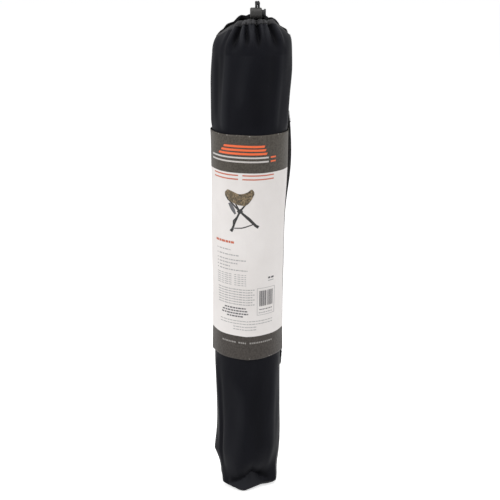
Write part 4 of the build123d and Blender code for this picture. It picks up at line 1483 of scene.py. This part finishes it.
def make_seat_half(side):
    """One half of the seat cloth with creases that run in from its corners, shaped open and then folded."""
    u, v = crossed(np.linspace(0, 1, 90), np.linspace(0, 1, 150))
    x, y, z = open_seat(u, v)
    for corner_x, corner_y, size in ((SEAT_WIDE, SEAT_BACK, 0.8), (0.0, SEAT_FRONT, 0.7)):
        away = np.hypot(x - corner_x, y - corner_y)
        bearing = np.arctan2(y - corner_y, x - corner_x)
        z = z + size * MM * np.sin(bearing * 26) * np.exp(-away / (62 * MM)) * smoothstep(0, 15 * MM, away)
    points = np.stack([SIDES[side] * x, y, z], -1)
    uv = np.stack([points[..., 0], points[..., 1]], -1)
    piece = grid_piece(f"seat_cloth_{side}", folded_seat(points, side), uv=uv)
    if side == "right":
        piece.data.flip_normals()
    add_wall(piece, SEAT_THICK, 0.0)
    return apply_modifiers(piece)


seat_cloth = blotch_material(
    "seat_blotches", EARTH, 22.0, from_uv=True, weave_threads=3200.0, depth=0.00025,
)
pocket_black = cloth_material(
    "pocket_black", (0.012, 0.012, 0.013), (0.026, 0.026, 0.028), threads=3000.0, sheen=0.25, depth=0.0003,
)
for side, sign in SIDES.items():
    hem = f"seat_{side}_hem"
    half = make_seat_half(side)
    half.data.materials.append(seat_cloth)
    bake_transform(half)
    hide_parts(*([hem, "seat_sling"] if side == "left" else [hem]))


BINDING_SECTION = np.array([4.5, 4.5, 1.9]) * MM
BINDING_INSET = 3.0 * MM


def seat_border(side):
    """Folded binding along the seat's side edge and its half of the back edge, with a rounded section."""
    sign = SIDES[side]
    v = np.linspace(1.0, 0.0, 120)
    x1, y1, z1 = open_seat(np.ones_like(v), v)
    u = np.linspace(1.0, 0.0, 80)[1:]
    x2, y2, z2 = open_seat(u, np.zeros_like(u))
    route = np.stack([np.concatenate([x1, x2]), np.concatenate([y1, y2]), np.concatenate([z1, z2])], -1)
    route[:, 0] *= sign
    centre = route[:, None]
    flat = (tube_points(route, 1.0, 14) - centre) * BINDING_SECTION
    inward = np.array([0.0, -30 * MM, 0.0]) - route * np.array([1, 1, 0])
    inward /= np.linalg.norm(inward, axis=1)[:, None]
    shape = centre + flat + inward[:, None] * BINDING_INSET
    shape[..., 0] = sign * np.maximum(sign * shape[..., 0], 0.0)
    piece = grid_piece(f"seat_binding_{side}", folded_seat(shape, side), close_v=True)
    return turned_out(piece)


for side, sign in SIDES.items():
    binding = seat_border(side)
    binding.data.materials.append(pocket_black)
    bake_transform(binding)

# ------------------------------------------------------------------ seat pockets on the leg tops


def leg_turned(points, number):
    """Moves points made round the z axis to a leg's rest place, x facing away from the hub."""
    out, side = out_and_side(LEG_ANGLES[number - 1])
    return out * (points[..., :1] + LEG_OFFSET) + side * points[..., 1:2] + UP * points[..., 2:]


# Pocket: height and start of its domed top, the hem and seam that stand out, and its cloth.
POCKET_DOME = 7 * MM
DOME_START = 0.8
POCKET_HEM = 0.5 * MM
POCKET_SEAM = 0.7 * MM
POCKET_CLOTH = 0.9 * MM


def make_pocket(number):
    """Corner pocket: a cap of heavy cloth over the tube, creased, with a turned hem at its open end."""
    lower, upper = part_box(f"seat_pocket_{number}")
    low, high = lower[2], upper[2]
    radius = (upper[0] - lower[0]) / 2
    across = np.linspace(0, 2 * math.pi, 72, endpoint=False)
    t = np.linspace(0, 1, 60)
    round_top = t >= DOME_START
    cap = np.clip((t - DOME_START) / (1 - DOME_START), 0, 1) * math.pi / 2
    side_height = low + (high - POCKET_DOME - low) * t / DOME_START
    height = np.where(round_top, high - POCKET_DOME + POCKET_DOME * np.sin(cap), side_height)
    profile = np.where(round_top, radius - POCKET_DOME + POCKET_DOME * np.cos(cap), radius)
    profile[-1] = 0.3 * MM
    hem = POCKET_HEM * smoothstep(0.0, 0.02, t) * (1 - smoothstep(0.16, 0.2, t))
    a, r = crossed(across, profile + hem - 0.3 * MM)
    _, z = crossed(across, height)
    _, share = crossed(across, t)
    crease = 0.35 * MM * np.sin(5 * a + 12 * share) * (1 - smoothstep(0.85, 1, share))
    flat = np.clip(1 - (share - DOME_START) / (1 - DOME_START), 0, 1)
    seam = POCKET_SEAM * bump(turn_between(np.degrees(a), -90), 0, 7) * flat
    r = r + crease + seam
    points = leg_turned(np.stack([r * np.cos(a), r * np.sin(a), z], -1), number)
    uv = np.stack([a * radius, z], -1)
    piece = grid_piece(f"corner_pocket_{number}", points, close_u=True, uv=uv)
    add_wall(piece, POCKET_CLOTH, -1.0)
    return piece


for number in (1, 2, 3):
    pocket = make_pocket(number)
    pocket.data.materials.append(pocket_black)
    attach(pocket, f"leg_{number}")
    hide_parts(f"seat_pocket_{number}")

# ------------------------------------------------------------------ foot strap and its loops

STRAP_RUN = {side: joint_travel(f"foot_strap_{side}_stretch") for side in SIDES}
STRAP_MIDDLE = np.array([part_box(f"foot_strap_{side}_end") for side in SIDES], float).mean((0, 1))
STRAP_FOLD = 14.3 * MM
STRAP_SHORT = 3.5 * MM
STRAP_SAG = 5.0 * MM
STRAP_RAISE = 2.5 * MM
WEB_HALF = 12.5 * MM
LOOP_WALL = 1.1 * MM


def make_foot_strap(side):
    """Half of the strap between two feet: shaped straight, then gathered back into its bundle.

    Its end is cut on the slant of the leg that it meets, shorter above and longer below.
    """
    run = STRAP_RUN[side]
    length = np.linalg.norm(run)
    direction = run / length
    reach = length + STRAP_FOLD
    leg = LEG_ANGLES[1 if side == "left" else 2]
    slant = WEB_HALF * math.tan(SPREAD) * abs(direction[0] * math.sin(leg) - direction[1] * math.cos(leg))
    share = np.linspace(0, 1, 160)[:, None]
    w = np.linspace(-1, 1, 15)[None]
    s = share * (reach - STRAP_SHORT - slant * w)
    inner = np.linspace(0, STRAP_FOLD + slant, 600)
    part = np.clip(inner / STRAP_FOLD, 0, 1)
    weight = part ** 2 * (3 - 2 * part)
    place = np.interp(s, inner + weight * length, inner)
    across = np.cross(direction, UP)
    sag = STRAP_SAG * (1 - share ** 2)
    ripple = 0.5 * MM * np.sin(share * 17)
    rib = 0.08 * MM * np.cos(w * math.pi * 12)
    points = (
        STRAP_MIDDLE
        + direction * place[..., None]
        + across * (ripple + rib)[..., None]
        + UP * (w * WEB_HALF - sag + STRAP_RAISE)[..., None]
    )
    uv = np.stack(np.broadcast_arrays(w * WEB_HALF, s), -1)
    piece = grid_piece(f"foot_strap_{side}_half", points, uv=uv)
    add_wall(piece, WEBBING, 0.0)
    return apply_modifiers(piece), direction


for side in SIDES:
    half, direction = make_foot_strap(side)
    half.data.materials.append(web_black)
    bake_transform(half)
    strap_end = f"foot_strap_{side}_end"
    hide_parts(*(["foot_strap", strap_end] if side == "left" else [strap_end]))


def make_strap_loop(number):
    """Loop of webbing sewn round the tube, ribbed, with a slightly thicker overlap."""
    lower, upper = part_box(f"strap_loop_{number}")
    radius = (upper[0] - lower[0]) / 2 - WEBBING
    across = np.linspace(0, 2 * math.pi, 96, endpoint=False)
    w = np.linspace(-1, 1, 25)
    a, ww = crossed(across, w)
    lap = 0.5 * MM * bump(turn_between(np.degrees(a - 1.2), 0), 0, 30)
    r = radius + 0.07 * MM * np.cos(ww * math.pi * 12) + lap
    z = (lower[2] + upper[2]) / 2 + ww * WEB_HALF
    points = leg_turned(np.stack([r * np.cos(a), r * np.sin(a), z], -1), number)
    uv = np.stack([ww * WEB_HALF, a * radius], -1)
    piece = grid_piece(f"tube_loop_{number}", points, close_u=True, uv=uv)
    add_wall(piece, LOOP_WALL, 1.0)
    return piece


for number in (2, 3):
    loop = make_strap_loop(number)
    loop.data.materials.append(web_black)
    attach(loop, f"leg_{number}")
    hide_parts(f"strap_loop_{number}")

# ------------------------------------------------------------------ side pouch

pouch_low, pouch_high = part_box("side_pouch")
POUCH_BEARING = LEG_ANGLES[2] - math.radians(60)
POUCH_HALF = 21.0 * MM
POUCH_DEEP = 6.0 * MM
POUCH_FACE = LEG_OFFSET * math.cos(math.radians(60)) + TUBE_RADIUS + 0.3 * MM
POUCH_FRONT = 0.33
POUCH_BACK = 0.42
FLAP_THICK = 0.9 * MM
POUCH_WELD = 0.02 * MM


def make_pouch():
    """Flat pouch: a pillow with rounded corners, a dropped flap over its front and soft puckers."""
    out, side = out_and_side(POUCH_BEARING)
    low, high = pouch_low[2], pouch_high[2]
    u, v = crossed(np.linspace(-1, 1, 70), np.linspace(-1, 1, 130))
    square = np.clip(1 - np.abs(u) ** 8, 0, 1) ** 0.5 * np.clip(1 - np.abs(v) ** 14, 0, 1) ** 0.5
    flap = smoothstep(0.30, 0.33, v + 0.10 * u ** 2)
    pucker = 0.35 * MM * np.sin(9 * u + 3 * v) * np.sin(7 * v + 1)
    front = POUCH_DEEP * 0.5 + (POUCH_DEEP * POUCH_FRONT) * square + (FLAP_THICK * flap + pucker) * square
    back = POUCH_DEEP * 0.5 - (POUCH_DEEP * POUCH_BACK) * square
    middle = out * POUCH_FACE + UP * (low + high) / 2
    plane = middle + side * (u * POUCH_HALF)[..., None] + UP * (v * (high - low) / 2)[..., None]
    parts = [grid_piece("pouch_half", plane + out * depth[..., None]) for depth in (front, back)]
    return turned_out(join_pieces("side_pocket", parts), POUCH_WELD)


pouch_grey = cloth_material(
    "pouch_grey", (0.085, 0.083, 0.088), (0.13, 0.128, 0.132), threads=3000.0, sheen=0.2, depth=0.00025,
)
pouch = make_pouch()
pouch.data.materials.append(pouch_grey)
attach(pouch, "leg_3")
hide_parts("side_pouch")

# ------------------------------------------------------------------ floor, backdrop and light


def seen_directly(tree):
    """1 on rays from the camera, a mirror or glass, and 0 on the rays that light the object."""
    path = tree.nodes.new("ShaderNodeLightPath")
    seen = calc(tree, "MAXIMUM", path.outputs["Is Camera Ray"], path.outputs["Is Glossy Ray"])
    return calc(tree, "MAXIMUM", seen, path.outputs["Is Transmission Ray"])


FLOOR_GLOW = 0.62
FLOOR_HALF = 20


def make_stage():
    """White floor, wide enough to fill the view, that still takes the object's soft shadow."""
    line = np.linspace(-FLOOR_HALF, FLOOR_HALF, 9)
    x, y = crossed(line, line)
    floor = grid_piece("floor", np.stack([x, y, 0 * x], -1))
    material, tree, shader = new_material("pale_floor")
    shader.inputs["Base Color"].default_value = (0.90, 0.90, 0.90, 1)
    shader.inputs["Roughness"].default_value = 0.95
    shader.inputs["Specular IOR Level"].default_value = 0.0
    shader.inputs["Emission Color"].default_value = (1, 1, 1, 1)
    glow = calc(tree, "MULTIPLY", seen_directly(tree), FLOOR_GLOW)
    tree.links.new(glow, shader.inputs["Emission Strength"])
    floor.data.materials.append(material)


make_stage()


def area_light(name, place, aim, size, power):
    """Soft rectangular lamp that faces a point."""
    data = bpy.data.lights.new(name, "AREA")
    data.shape = "RECTANGLE"
    data.size, data.size_y = size
    data.energy = power
    lamp = bpy.data.objects.new(name, data)
    lamp.location = place
    away = np.asarray(place, float) - np.asarray(aim, float)
    tilt = math.atan2(math.hypot(away[0], away[1]), away[2])
    lamp.rotation_euler = (tilt, 0, math.atan2(away[1], away[0]) + math.pi / 2)
    bpy.context.scene.collection.objects.link(lamp)


# Lamps: name, place, what each faces, its size and its power.
LAMPS = (
    ("left_softbox", (-2.2, -1.2, 1.7), (0, 0, 0.35), (1.2, 1.8), 34),
    ("right_softbox", (2.3, -1.0, 1.4), (0, 0, 0.35), (1.2, 1.8), 20),
    ("top_softbox", (0.0, -0.6, 2.8), (0, 0, 0.3), (2.0, 2.0), 36),
)
for lamp in LAMPS:
    area_light(*lamp)

WORLD_LIGHT = 0.42
world = bpy.data.worlds.new("studio")
bpy.context.scene.world = world
world.use_nodes = True
background = world.node_tree.nodes["Background"]
background.inputs["Color"].default_value = (1, 1, 1, 1)
world_tree = world.node_tree
world_strength = mixed(world_tree, "FLOAT", seen_directly(world_tree), WORLD_LIGHT, 1.0)
world_tree.links.new(world_strength, background.inputs["Strength"])
bpy.context.scene.view_settings.view_transform = "Standard"
